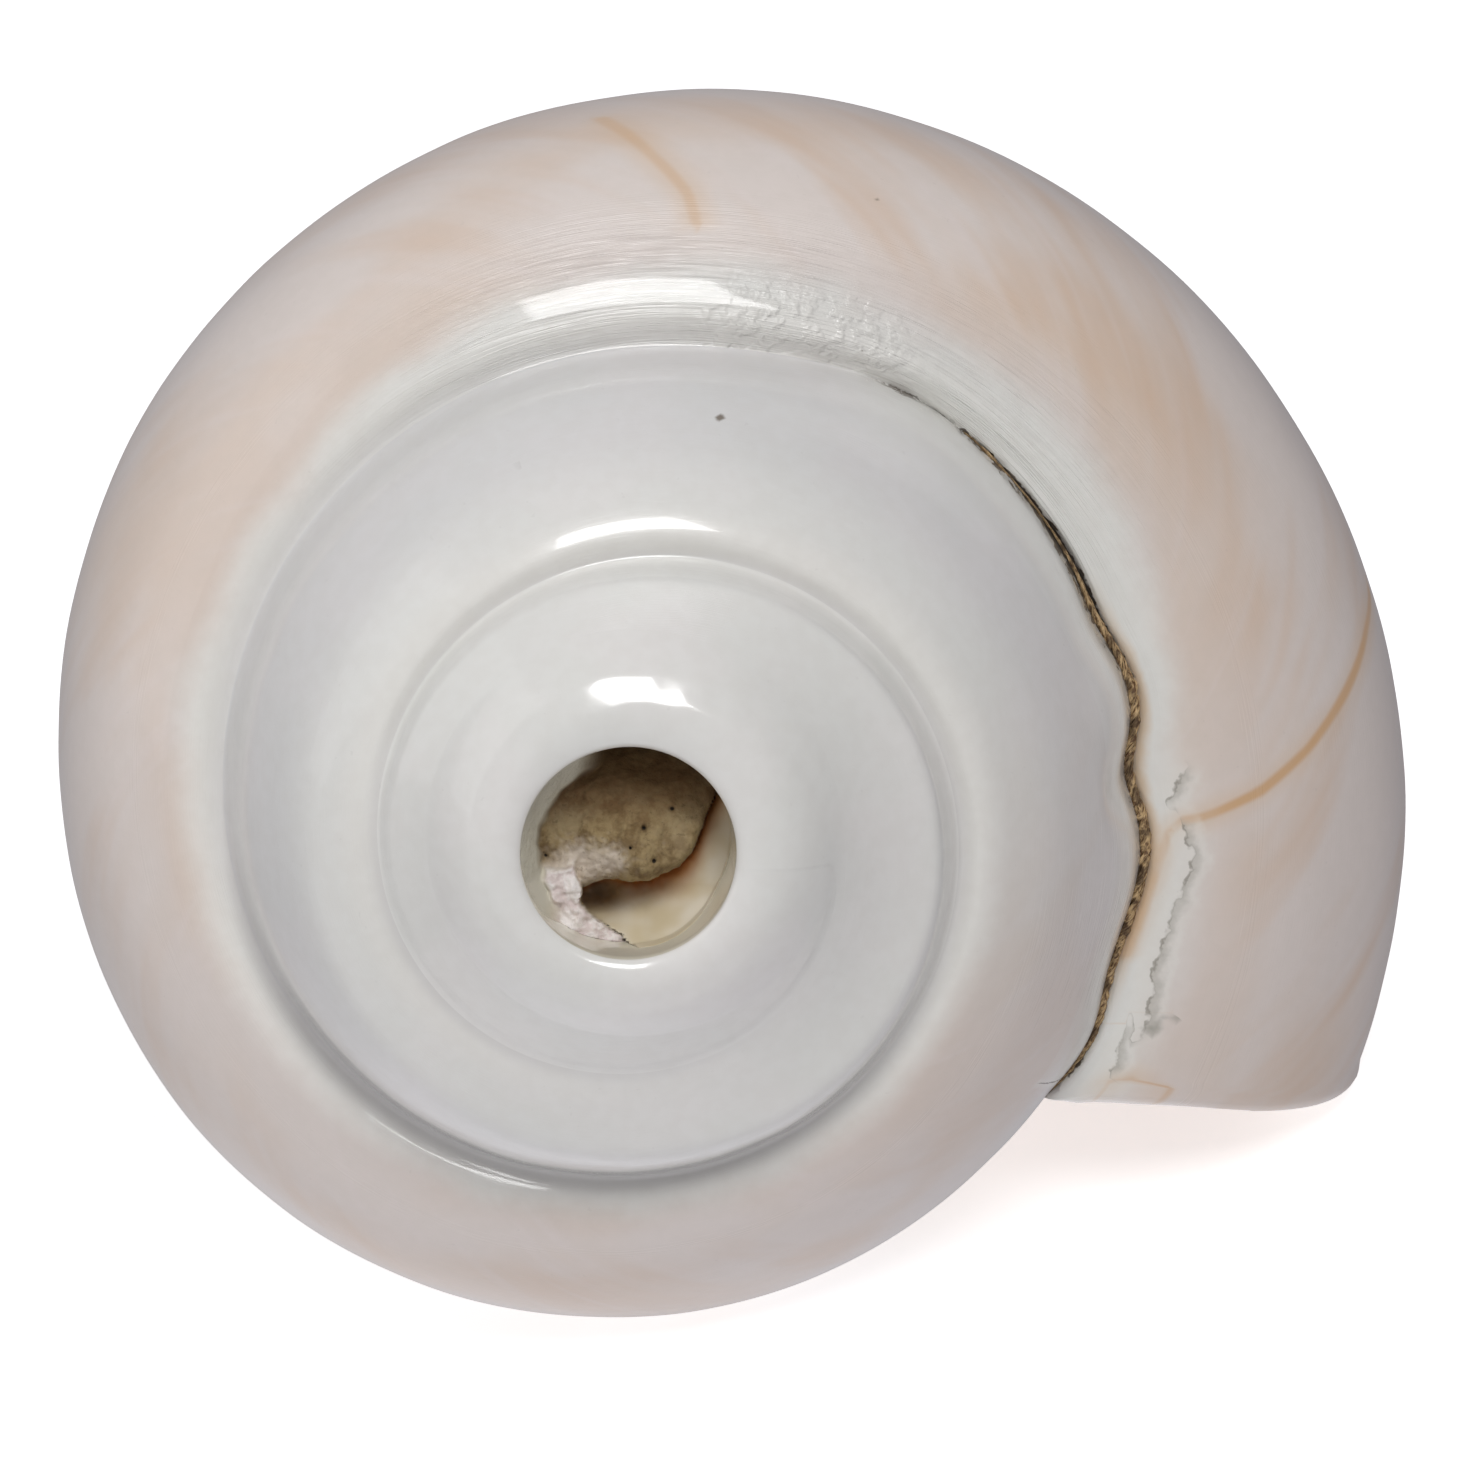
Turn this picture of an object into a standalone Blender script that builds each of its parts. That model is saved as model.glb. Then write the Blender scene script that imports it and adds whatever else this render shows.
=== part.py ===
"""A polished chank conch, sawn off and bored at the top of its spire so that it can be blown.

The shell is one piece, lying with its mouth down as it rests on a table. It is modelled about its own
axis first, then turned into that pose. Lengths along the axis are depths below the point where the spire
would end if it had not been sawn off, and the shell grows by a fixed ratio on every turn.
"""

import math

import bmesh
import bpy
import numpy as np
from mathutils import Matrix

MM = 0.001
TURN = 2 * math.pi

# Growth of the spiral
WHORL_RATIO = 1.623
GROWTH = math.log(WHORL_RATIO) / TURN

# Outline of the last whorl where the lip cuts it: place along the outline, radius and depth in mm.
# Place 0 is the suture, 1 is where the next whorl would begin, and 2 is the tip of the canal.
BODY_OUTLINE = (
    (0.0, 35.7, 46.0),
    (0.07, 37.8, 44.8),
    (0.22, 42.2, 45.9),
    (0.42, 47.2, 49.2),
    (0.62, 51.2, 54.4),
    (0.82, 53.6, 60.8),
    (1.0, 54.0, 68.0),
    (1.2, 51.6, 78.0),
    (1.38, 45.8, 89.5),
    (1.54, 36.5, 103.0),
    (1.68, 26.2, 117.0),
    (1.80, 17.8, 132.0),
    (1.90, 13.2, 147.5),
    (1.97, 11.0, 163.0),
    (2.0, 9.8, 171.5),
)
SPIRE_OUTLINE = (
    (0.0, 35.7, 46.0),
    (0.07, 37.8, 44.8),
    (0.22, 42.2, 46.8),
    (0.42, 47.2, 51.6),
    (0.62, 51.6, 57.8),
    (0.82, 55.6, 65.4),
    (1.0, 35.7 * WHORL_RATIO, 46.0 * WHORL_RATIO),
)
SPIRE_ENDS = -TURN
SPIRE_BLEND = 1.5
WIDTH_TREND = (
    (-6.28, 1.0),
    (-5.0, 1.0),
    (-4.3, 0.972),
    (-3.8, 0.949),
    (-2.9, 0.957),
    (-2.24, 0.983),
    (-1.0, 1.024),
    (0.0, 1.05),
)
TIP_RADIUS, TIP_DEPTH = 6.0, 174.6

# The mouth: how far the lip is drawn back, as an angle, at places along the outline
LIP_SETBACK = ((0.0, 0.0), (0.2, 0.08), (0.42, 0.13), (0.7, 0.17), (1.0, 0.2), (1.35, 0.22), (1.7, 0.14), (2.0, 0.0))
LIP_SPAN = 1.1
LIP_ROUND = 2.0
LIP_LAND = 2.5

# Section of the hollow at the lip: radius and depth in mm, down the outer side and up the inner side.
# Each inner row also names the place on the whorl below that it lies against.
HOLLOW_OUTER = (
    (38.6, 47.8),
    (43.2, 49.0),
    (47.0, 53.0),
    (49.2, 59.5),
    (49.4, 67.0),
    (47.0, 76.5),
    (42.0, 87.0),
    (34.6, 98.0),
    (26.4, 109.5),
    (19.2, 119.0),
)
HOLLOW_INNER = (
    (1.80, 13.6, 122.5),
    (1.76, 10.2, 115.0),
    (1.72, 9.4, 106.5),
    (1.66, 9.8, 97.5),
    (1.60, 11.6, 88.5),
    (1.52, 15.6, 80.0),
    (1.45, 20.8, 72.4),
    (1.36, 25.8, 64.4),
    (1.25, 29.8, 57.0),
    (1.14, 32.6, 51.8),
    (1.05, 35.2, 48.2),
)
PLAITS = ((85.5, 1.5), (93.0, 1.7), (100.0, 1.4), (106.5, 1.0))
PLAIT_WIDTH = 1.5
MOUTH_OPENS = 1.15
HOLLOW_ENDS = -14.6
NARROWS_FROM, NARROWS_TO = -9.2, -14.0
HOLLOW_CORE = (20.0, 97.0)
NARROWED = 0.42

# The sawn and bored top: the bore, its rounded rim and the ground flank round it
BORE = ((7.25, 8.0), (7.25, 16.9), (7.0, 18.0), (6.6, 31.5))
BORE_OFFSET = (-1.1, 1.15)
RIM = ((7.0, 16.9), (7.5, 15.9), (8.9, 15.3), (10.4, 15.8), (11.9, 17.1))
FLANK = (13.2, 18.5)
FLANK_SLOPE, FLANK_CURVE = 0.93, 0.05
GRIND_SOFT = 0.5

# The canal below the mouth is an open gutter. Each row gives a depth, the way it faces in degrees, how far
# its floor is from the axis and half its width.
GUTTER = (
    (98.0, -6.0, 11.5, 3.0),
    (108.0, -8.0, 9.5, 3.6),
    (118.0, -14.0, 6.0, 4.0),
    (130.0, -22.0, 1.5, 4.2),
    (145.0, -28.0, -1.5, 3.8),
    (162.0, -31.0, -2.4, 3.5),
    (182.0, -32.0, -2.6, 3.9),
)
GUTTER_REACH = 34.0

# Rest: how high the spire points, and which way round the shell lies
AXIS_RISES = math.radians(13.31)
LIES_ON = math.radians(43.81)

# Facets
PER_TURN = 60
SPIRE_ROWS = (0.0, 0.07, 0.2, 0.4, 0.6, 0.8, 0.93, 1.0)
BASE_ROWS = (1.12, 1.24, 1.36, 1.46, 1.56, 1.66, 1.74, 1.81, 1.88, 1.94, 1.98, 2.0)
LIP_STEPS = 3
HOLLOW_PER_TURN = 40
BORE_SIDES = 36


def spline(keys, x):
    """A natural cubic spline through the keys' first and second columns, read at x."""
    xs = np.array([k[0] for k in keys], float)
    ys = np.array([k[1] for k in keys], float)
    n = len(xs)
    gap = np.diff(xs)
    rise = np.diff(ys) / gap
    matrix = np.eye(n)
    right = np.zeros(n)
    for i in range(1, n - 1):
        matrix[i, i - 1 : i + 2] = gap[i - 1], 2 * (gap[i - 1] + gap[i]), gap[i]
        right[i] = 6 * (rise[i] - rise[i - 1])
    bend = np.linalg.solve(matrix, right)
    i = np.clip(np.searchsorted(xs, x) - 1, 0, n - 2)
    a = (xs[i + 1] - x) / gap[i]
    b = (x - xs[i]) / gap[i]
    cubic = ((a**3 - a) * bend[i] + (b**3 - b) * bend[i + 1]) * gap[i] ** 2 / 6
    return a * ys[i] + b * ys[i + 1] + cubic


def smoothstep(low, high, x):
    """0 below low, 1 above high, and smooth between them."""
    s = min(1.0, max(0.0, (x - low) / (high - low)))
    return s * s * (3 - 2 * s)


def scale_at(t):
    """Size of the shell's section at growth angle t, as a share of that at the lip."""
    return math.exp(GROWTH * t)


def around(t, radius, depth):
    """The point at growth angle t: the shell grows clockwise as seen from the spire."""
    return np.array((radius * math.cos(t), -radius * math.sin(t), -depth))


def outline(keys, v):
    radius = spline([(k[0], k[1]) for k in keys], v)
    depth = spline([(k[0], k[2]) for k in keys], v)
    return float(radius), float(depth)


def bore_centre():
    return np.array((BORE_OFFSET[0], BORE_OFFSET[1], 0.0))


def ground(point):
    """The spire's flank is ground down near the bore, so nothing stands above a smooth cone there."""
    out = float(np.hypot(point[0] - BORE_OFFSET[0], point[1] - BORE_OFFSET[1])) - FLANK[0]
    if out > FLANK_SLOPE / (2 * FLANK_CURVE):
        return point
    cone = FLANK[1] + FLANK_SLOPE * out - FLANK_CURVE * out * out
    gap = -point[2] - cone
    depth = cone + (gap + math.sqrt(gap * gap + GRIND_SOFT**2)) / 2
    return np.array((point[0], point[1], -depth))


def whorl(t, v):
    """Radius and depth of the outer surface at growth angle t and place v."""
    size = scale_at(t)
    radius, depth = outline(BODY_OUTLINE, v)
    early = 1 - smoothstep(SPIRE_ENDS, SPIRE_ENDS + SPIRE_BLEND, t)
    if early > 0:
        spire_radius, spire_depth = outline(SPIRE_OUTLINE, min(v, 1.0))
        body_radius, body_depth = outline(BODY_OUTLINE, min(v, 1.0))
        fade = early * (1 - smoothstep(1.0, 1.45, v))
        radius += fade * (spire_radius - body_radius)
        depth += fade * (spire_depth - body_depth)
    if t > SPIRE_ENDS:
        trend = float(spline(WIDTH_TREND, t)) - 1
        radius *= 1 + trend * smoothstep(0.1, 0.9, v) * (1 - smoothstep(1.3, 1.8, v))
    tip_share = smoothstep(1.4, 1.93, v)
    narrow_share = 0.35 * smoothstep(1.45, 2.0, v)
    return radius * size ** (1 - narrow_share), depth * size ** (1 - tip_share)


def lip_angle(t, v):
    """Growth angle moved back near the lip, which is drawn back between the suture and the canal."""
    setback = float(spline(LIP_SETBACK, v))
    return t - setback * max(0.0, 1 + t / LIP_SPAN)


def inward(t, v):
    """Unit vector, in radius and depth, that points from the outer surface into the whorl."""
    step = 0.01
    before = whorl(t, max(0.0, v - step))
    after = whorl(t, min(2.0, v + step))
    along = np.array(after) - np.array(before)
    along /= np.linalg.norm(along)
    return np.array((-along[1], along[0]))


def shell_point(t, v, turned_in=0.0, set_back=0.0):
    """A point of the outer surface, optionally pushed into the wall to round the lip."""
    radius, depth = whorl(t, v)
    fade = smoothstep(0.0, 0.12, v) * (1 - smoothstep(1.85, 2.0, v))
    if turned_in:
        shift = inward(t, v) * turned_in * fade
        radius, depth = radius + shift[0], depth + shift[1]
    angle = lip_angle(t, v) - fade * set_back / radius
    return ground(around(angle, radius, depth))


def new_mesh(name, build):
    """An object whose mesh the given function fills in millimetres about the shell's axis."""
    mesh = bpy.data.meshes.new(name)
    bm = bmesh.new()
    build(bm)
    bmesh.ops.remove_doubles(bm, verts=bm.verts, dist=0.003)
    bmesh.ops.recalc_face_normals(bm, faces=bm.faces)
    bmesh.ops.scale(bm, verts=bm.verts, vec=(MM, MM, MM))
    bm.to_mesh(mesh)
    bm.free()
    return bpy.data.objects.new(name, mesh)


def skin(bm, rows, closed=False):
    """Quads between neighbouring rows of points, which all have the same length."""
    made = [[bm.verts.new(p) for p in row] for row in rows]
    for one, two in zip(made, made[1:]):
        count = len(one)
        for j in range(count if closed else count - 1):
            k = (j + 1) % count
            bm.faces.new((one[j], one[k], two[k], two[j]))
    return made


def from_bore(point):
    return float(np.hypot(point[0] - BORE_OFFSET[0], point[1] - BORE_OFFSET[1]))


def flank_place(t):
    """The place on the whorl at growth angle t that lies on the round edge of the ground top."""
    low, high = 0.0, 1.0
    if from_bore(shell_point(t, low)) >= FLANK[0]:
        return low
    if from_bore(shell_point(t, high)) <= FLANK[0]:
        return high
    for _ in range(40):
        middle = (low + high) / 2
        if from_bore(shell_point(t, middle)) < FLANK[0]:
            low = middle
        else:
            high = middle
    return (low + high) / 2


def spiral_start():
    """The first step at which the inner suture is outside the round edge of the ground top."""
    step = -PER_TURN
    while from_bore(shell_point(TURN * (step - 1) / PER_TURN, 0.0)) >= FLANK[0]:
        step -= 1
    return step


def build_outside(bm):
    """The whole shell as if it were solid: rim, spire, body whorl, canal and a closed mouth."""
    start = spiral_start()
    edge = []
    early = []
    for i in range(start - PER_TURN, start + 1):
        t = TURN * i / PER_TURN
        inner = flank_place(t)
        if i == start - PER_TURN:
            inner = 1.0
        if i == start:
            inner = 0.0
        row = [shell_point(t, inner + (1 - inner) * v) for v in SPIRE_ROWS]
        early.append(row)
        edge.append(row[0])
    skin(bm, early)
    steps = range(start, -PER_TURN + 1)
    skin(bm, [[shell_point(TURN * i / PER_TURN, v) for v in SPIRE_ROWS] for i in steps])
    places = SPIRE_ROWS + BASE_ROWS
    last = [[shell_point(TURN * i / PER_TURN, v) for v in places] for i in range(-PER_TURN, 1)]
    last[-1] = [shell_point(0.0, v, 0.0, LIP_ROUND) for v in places]
    for k in range(1, LIP_STEPS + 1):
        turn = math.pi / 2 * k / LIP_STEPS
        turned_in = LIP_ROUND * (1 - math.cos(turn))
        set_back = LIP_ROUND * (1 - math.sin(turn))
        last.append([shell_point(0.0, v, turned_in, set_back) for v in places])
    last.append([shell_point(0.0, v, LIP_ROUND + LIP_LAND, 0.0) for v in places])
    made = skin(bm, last)
    close_mouth(bm, made)
    close_tip(bm, made)
    close_top(bm, edge[:-1])


def close_mouth(bm, made):
    """One face over the mouth, between the lip and the whorl below it."""
    below = made[0][len(SPIRE_ROWS) - 1 :]
    bm.faces.new(made[-1] + below[::-1])


def close_tip(bm, made):
    """The tip of the canal, rounded over to a point on the axis."""
    rim = [row[-1] for row in made]
    inner = []
    for vert in rim:
        angle = math.atan2(vert.co.y, vert.co.x)
        inner.append(bm.verts.new((TIP_RADIUS * math.cos(angle), TIP_RADIUS * math.sin(angle), -TIP_DEPTH)))
    centre = bm.verts.new((0.0, 0.0, -TIP_DEPTH - 0.4))
    for a, b, c, d in zip(rim, rim[1:] + rim[:1], inner[1:] + inner[:1], inner):
        bm.faces.new((a, b, c, d))
        bm.faces.new((d, c, centre))


def close_top(bm, edge):
    """The rounded rim of the bore and a lid over it, which the bore then cuts away."""
    rings = [edge]
    for radius, depth in RIM[::-1]:
        ring = []
        for point in edge:
            out = point - bore_centre()
            share = radius / math.hypot(out[0], out[1])
            ring.append(bore_centre() + np.array((out[0] * share, out[1] * share, -depth)))
        rings.append(ring)
    made = skin(bm, rings, closed=True)
    bm.faces.new(made[-1])


def hollow_section(t):
    """The hollow's section at growth angle t: outer side from the suture down, then the inner side up."""
    size = scale_at(min(t, 0.0))
    past = max(0.0, t)
    rows = []
    flare = LIP_ROUND + 0.75 if t >= 0 else 0.0
    near_lip = (t + LIP_ROUND / 40.0) / (LIP_ROUND / 40.0)
    if -1e-6 < near_lip < 1 and t < 0:
        flare = (LIP_ROUND + 0.75) * (1 - math.sqrt(max(0.0, 1 - near_lip**2)))
    centre = np.array((26.0, 78.0))
    for k, (radius, depth) in enumerate(HOLLOW_OUTER):
        away = np.array((radius, depth)) - centre
        away /= np.linalg.norm(away)
        corner = 0.35 if k == 0 else 1.0
        radius, depth = np.array((radius, depth)) + away * corner * (flare + past * 26.0)
        v = np.interp(k, (0, 1, 4, 7, 9), (0.1, 0.3, 1.05, 1.6, 1.78))
        rows.append((lip_angle(t, v) if t < 0 else t - float(spline(LIP_SETBACK, v)), radius * size, depth * size))
    opening = smoothstep(0.0, MOUTH_OPENS, past)
    for v, radius, depth in HOLLOW_INNER:
        plait = sum(high * math.exp(-(((depth - at) / PLAIT_WIDTH) ** 2)) for at, high in PLAITS)
        radius += plait
        radius, depth = radius * size, depth * size
        under = whorl(t - TURN, v)
        hug = smoothstep(-1.0, 0.0, t) * (1 - smoothstep(1.4, 1.55, v))
        radius += hug * (under[0] - 0.3 - radius)
        depth += hug * (under[1] - 0.3 - depth)
        radius += opening * (under[0] + 1.6 - radius)
        depth += opening * (under[1] + 0.8 - depth)
        rows.append((t, radius, depth))
    shrink = 1 - (1 - NARROWED) * smoothstep(-NARROWS_FROM, -NARROWS_TO, -t)
    core = np.array(HOLLOW_CORE) * size
    placed = []
    for angle, radius, depth in rows:
        radius, depth = core + (np.array((radius, depth)) - core) * shrink
        placed.append(around(angle, radius, depth))
    return placed


def hollow_steps():
    """Growth angles at which the hollow has a section, with a few close together at the lip."""
    even = np.linspace(HOLLOW_ENDS, -0.2, int((-0.2 - HOLLOW_ENDS) / TURN * HOLLOW_PER_TURN))
    lip = LIP_ROUND / 40.0
    return [*even, -lip, -0.55 * lip, -0.2 * lip, 0.0, 0.12, 0.3, 0.5, 0.72, 0.95, MOUTH_OPENS]


def build_hollow(bm):
    """The hollow that winds from the mouth up round the columella, as a closed tube."""
    made = skin(bm, [hollow_section(t) for t in hollow_steps()], closed=True)
    bm.faces.new(made[0])
    bm.faces.new(made[-1])


def build_gutter(bm):
    """The canal's gutter: round at its floor and open on the side where the mouth is."""
    rows = []
    for depth, facing, floor, half in GUTTER:
        angle = math.radians(facing)
        along = np.array((math.cos(angle), math.sin(angle), 0.0))
        across = np.array((-math.sin(angle), math.cos(angle), 0.0))
        down = np.array((0.0, 0.0, -depth))
        row = []
        for k in range(9):
            turn = math.pi * k / 8
            row.append(down + along * (floor + half - half * math.sin(turn)) + across * half * math.cos(turn))
        row.append(down + along * GUTTER_REACH - across * half * 1.1)
        row.append(down + along * GUTTER_REACH + across * half * 1.1)
        rows.append(row)
    made = skin(bm, rows, closed=True)
    bm.faces.new(made[0])
    bm.faces.new(made[-1])


def bore_cutter():
    """The drill that opens the top of the spire into the hollow, turned from its profile."""
    mesh = bpy.data.meshes.new("bore")
    bm = bmesh.new()
    profile = ((0.0, BORE[0][1]), *BORE, (0.0, BORE[-1][1]))
    verts = [bm.verts.new((radius * MM, 0.0, -depth * MM)) for radius, depth in profile]
    for one, two in zip(verts, verts[1:]):
        bm.edges.new((one, two))
    bm.to_mesh(mesh)
    bm.free()
    cutter = bpy.data.objects.new("bore", mesh)
    cutter.location = (BORE_OFFSET[0] * MM, BORE_OFFSET[1] * MM, 0.0)
    screw = cutter.modifiers.new("turn", "SCREW")
    screw.steps = BORE_SIDES
    screw.render_steps = BORE_SIDES
    screw.use_merge_vertices = True
    screw.merge_threshold = 1e-5
    screw.use_normal_calculate = True
    return cutter


def cut(body, cutter, helpers, solver):
    helpers.objects.link(cutter)
    cutter.hide_render = True
    cutter.display_type = "WIRE"
    modifier = body.modifiers.new(cutter.name, "BOOLEAN")
    modifier.operation = "DIFFERENCE"
    modifier.solver = solver
    modifier.object = cutter


def shell_material():
    material = bpy.data.materials.new("polished_shell")
    material.use_nodes = True
    surface = material.node_tree.nodes["Principled BSDF"]
    surface.inputs["Base Color"].default_value = (0.80, 0.72, 0.66, 1)
    surface.inputs["Roughness"].default_value = 0.22
    surface.inputs["Metallic"].default_value = 0.0
    return material


def rest_pose():
    """The empty that turns the shell from its own axis to the way it lies on a table."""
    pose = bpy.data.objects.new("rest_pose", None)
    lean = Matrix.Rotation(math.pi / 2 - AXIS_RISES, 4, "X")
    roll = Matrix.Rotation(LIES_ON - math.pi / 2, 4, "Z")
    pose.rotation_euler = (lean @ roll).to_euler()
    return pose


def set_down(pose, shell):
    """Moves the shell so that it lies on z = 0 with the middle of its box over the origin."""
    bpy.context.view_layer.update()
    evaluated = shell.evaluated_get(bpy.context.evaluated_depsgraph_get())
    places = [evaluated.matrix_world @ vert.co for vert in evaluated.data.vertices]
    low = [min(place[i] for place in places) for i in range(3)]
    high = [max(place[i] for place in places) for i in range(3)]
    pose.location = (-(low[0] + high[0]) / 2, -(low[1] + high[1]) / 2, -low[2])


def clear_scene():
    for obj in list(bpy.data.objects):
        bpy.data.objects.remove(obj)


def new_collection(name):
    collection = bpy.data.collections.new(name)
    bpy.context.scene.collection.children.link(collection)
    return collection


def main():
    clear_scene()
    parts = new_collection("conch_shell")
    helpers = new_collection("cutters")
    shell = new_mesh("shell", build_outside)
    parts.objects.link(shell)
    cut(shell, new_mesh("hollow", build_hollow), helpers, "EXACT")
    cut(shell, new_mesh("gutter", build_gutter), helpers, "MANIFOLD")
    cut(shell, bore_cutter(), helpers, "EXACT")
    shell.data.materials.append(shell_material())
    pose = rest_pose()
    parts.objects.link(pose)
    for obj in (shell, *helpers.objects):
        obj.parent = pose
    set_down(pose, shell)


main()
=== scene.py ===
"""A polished chank conch, sawn off and bored at the top of its spire for blowing, lying mouth down.

The visual shell is the same spiral as the solid model with finer rows, ground facets and pits, an open
suture with its brown residue, a chipped scar by the lip and the broken core inside the bore. A spot on it
is a growth angle t in radians, 0 at the lip and negative towards the top, and a place v across the whorl,
0 at the suture and 2 at the canal's tip.
"""

import math

import bmesh
import bpy
import numpy as np
from mathutils import Matrix, Vector, noise


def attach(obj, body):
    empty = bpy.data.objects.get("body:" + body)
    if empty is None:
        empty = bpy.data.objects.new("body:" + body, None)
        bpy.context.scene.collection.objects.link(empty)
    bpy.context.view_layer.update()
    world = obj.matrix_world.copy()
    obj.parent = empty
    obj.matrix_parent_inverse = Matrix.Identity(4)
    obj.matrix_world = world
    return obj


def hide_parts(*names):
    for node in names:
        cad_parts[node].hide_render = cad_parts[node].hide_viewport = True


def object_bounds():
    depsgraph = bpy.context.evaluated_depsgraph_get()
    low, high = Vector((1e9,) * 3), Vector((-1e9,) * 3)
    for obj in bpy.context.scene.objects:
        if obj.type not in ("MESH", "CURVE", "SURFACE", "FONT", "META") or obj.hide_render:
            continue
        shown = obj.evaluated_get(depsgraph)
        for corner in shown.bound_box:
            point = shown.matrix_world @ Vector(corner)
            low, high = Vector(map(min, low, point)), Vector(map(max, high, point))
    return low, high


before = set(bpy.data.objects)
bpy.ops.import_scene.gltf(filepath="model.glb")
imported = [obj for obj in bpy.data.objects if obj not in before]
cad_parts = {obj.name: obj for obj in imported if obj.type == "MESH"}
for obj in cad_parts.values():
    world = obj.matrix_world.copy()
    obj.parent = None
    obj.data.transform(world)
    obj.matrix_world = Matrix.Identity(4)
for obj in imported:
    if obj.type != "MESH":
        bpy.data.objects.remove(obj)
CAD_BOX = [list(map(float, corner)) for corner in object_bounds()]

TURN = 2 * math.pi

# Growth of the spiral, and the outlines of its whorls: place, radius and depth in mm
WHORL_RATIO = 1.623
GROWTH = math.log(WHORL_RATIO) / TURN
BODY_OUTLINE = (
    (0.0, 35.7, 46.0), (0.07, 37.8, 44.8), (0.22, 42.2, 45.9), (0.42, 47.2, 49.2), (0.62, 51.2, 54.4),
    (0.82, 53.6, 60.8), (1.0, 54.0, 68.0), (1.2, 51.6, 78.0), (1.38, 45.8, 89.5), (1.54, 36.5, 103.0),
    (1.68, 26.2, 117.0), (1.8, 17.8, 132.0), (1.9, 13.2, 147.5), (1.97, 11.0, 163.0), (2.0, 9.8, 171.5),
)
SPIRE_OUTLINE = (
    *BODY_OUTLINE[:2], (0.22, 42.2, 46.8), (0.42, 47.2, 51.6), (0.62, 51.6, 57.8), (0.82, 55.6, 65.4),
    (1.0, 35.7 * WHORL_RATIO, 46.0 * WHORL_RATIO),
)
SPIRE_ENDS = -TURN
SPIRE_BLEND = 1.5
WIDTH_TREND = (
    (-6.28, 1.0), (-5.0, 1.0), (-4.3, 0.972), (-3.8, 0.949), (-2.9, 0.957), (-2.24, 0.983),
    (-1.0, 1.024), (0.0, 1.05),
)
TIP_RADIUS, TIP_DEPTH, TIP_DOME, TIP_PLACE = 6.0, 174.6, 0.4, 2.05

# The mouth and the lip
LIP_SETBACK = (
    (0.0, 0.0), (0.2, 0.08), (0.42, 0.13), (0.7, 0.17), (1.0, 0.2), (1.35, 0.22), (1.7, 0.14),
    (2.0, 0.0),
)
LIP_SPAN = 1.1
LIP_ROUND = 2.0
LIP_LAND = 2.5
LIP_LAP = LIP_ROUND / 40.0

# The hollow
HOLLOW_OUTER = (
    (38.6, 47.8), (43.2, 49.0), (47.0, 53.0), (49.2, 59.5), (49.4, 67.0), (47.0, 76.5), (42.0, 87.0),
    (34.6, 98.0), (26.4, 109.5), (19.2, 119.0),
)
HOLLOW_INNER = (
    (1.8, 13.6, 122.5), (1.76, 10.2, 115.0), (1.72, 9.4, 106.5), (1.66, 9.8, 97.5), (1.6, 11.6, 88.5),
    (1.52, 15.6, 80.0), (1.45, 20.8, 72.4), (1.36, 25.8, 64.4), (1.25, 29.8, 57.0), (1.14, 32.6, 51.8),
    (1.05, 35.2, 48.2),
)
PLAITS = ((85.5, 1.5), (93.0, 1.7), (100.0, 1.4), (106.5, 1.0))
PLAIT_WIDTH = 1.5
MOUTH_OPENS = 1.15
HOLLOW_ENDS = -14.6
NARROWS_FROM, NARROWS_TO = -9.2, -14.0
HOLLOW_CORE = (20.0, 97.0)
HOLLOW_CENTRE = (26.0, 78.0)
LIP_FLARE = LIP_ROUND + 0.75
NARROWED = 0.42
MOUTH_CLEAR = (1.6, 0.8)

# The bored and ground top
BORE = ((6.85, 8.0), (6.85, 16.9), (6.75, 18.0), (6.4, 31.5))
BORE_OFFSET = (-1.1, 1.15)
BORE_CENTRE = (-0.93, 0.3)
RIM = ((6.6, 16.6), (6.95, 15.75), (7.7, 15.4), (8.9, 15.4), (10.4, 15.9), (11.9, 17.1))
RIM_PLACE = -0.3
FLANK = (13.2, 18.5)
FLANK_SLOPE, FLANK_CURVE = 0.93, 0.05
GRIND_SOFT = 0.5

# The canal's gutter: depth, facing in degrees, floor from the axis and half width
GUTTER = (
    (98.0, -6.0, 11.5, 3.0), (108.0, -8.0, 9.5, 3.6), (118.0, -14.0, 6.0, 4.0),
    (130.0, -22.0, 1.5, 4.2), (145.0, -28.0, -1.5, 3.8), (162.0, -31.0, -2.4, 3.5),
    (182.0, -32.0, -2.6, 3.9),
)
GUTTER_REACH = 34.0

# Rest pose, and the camera about the shell's own axis: turns in degrees and place in mm
AXIS_RISES = math.radians(13.31)
LIES_ON = math.radians(43.81)
CAMERA_TURNS = (10.5, 1.65, -38.4)
CAMERA_PLACE = (-5.75, -11.2, -500.0)
# The focal length over the picture's width, and the sensor's width in mm
CAMERA_FOCUS = 8140.0 / 1470.0
SENSOR_WIDTH = 36.0
BOX_SHARE = 0.9998

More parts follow.
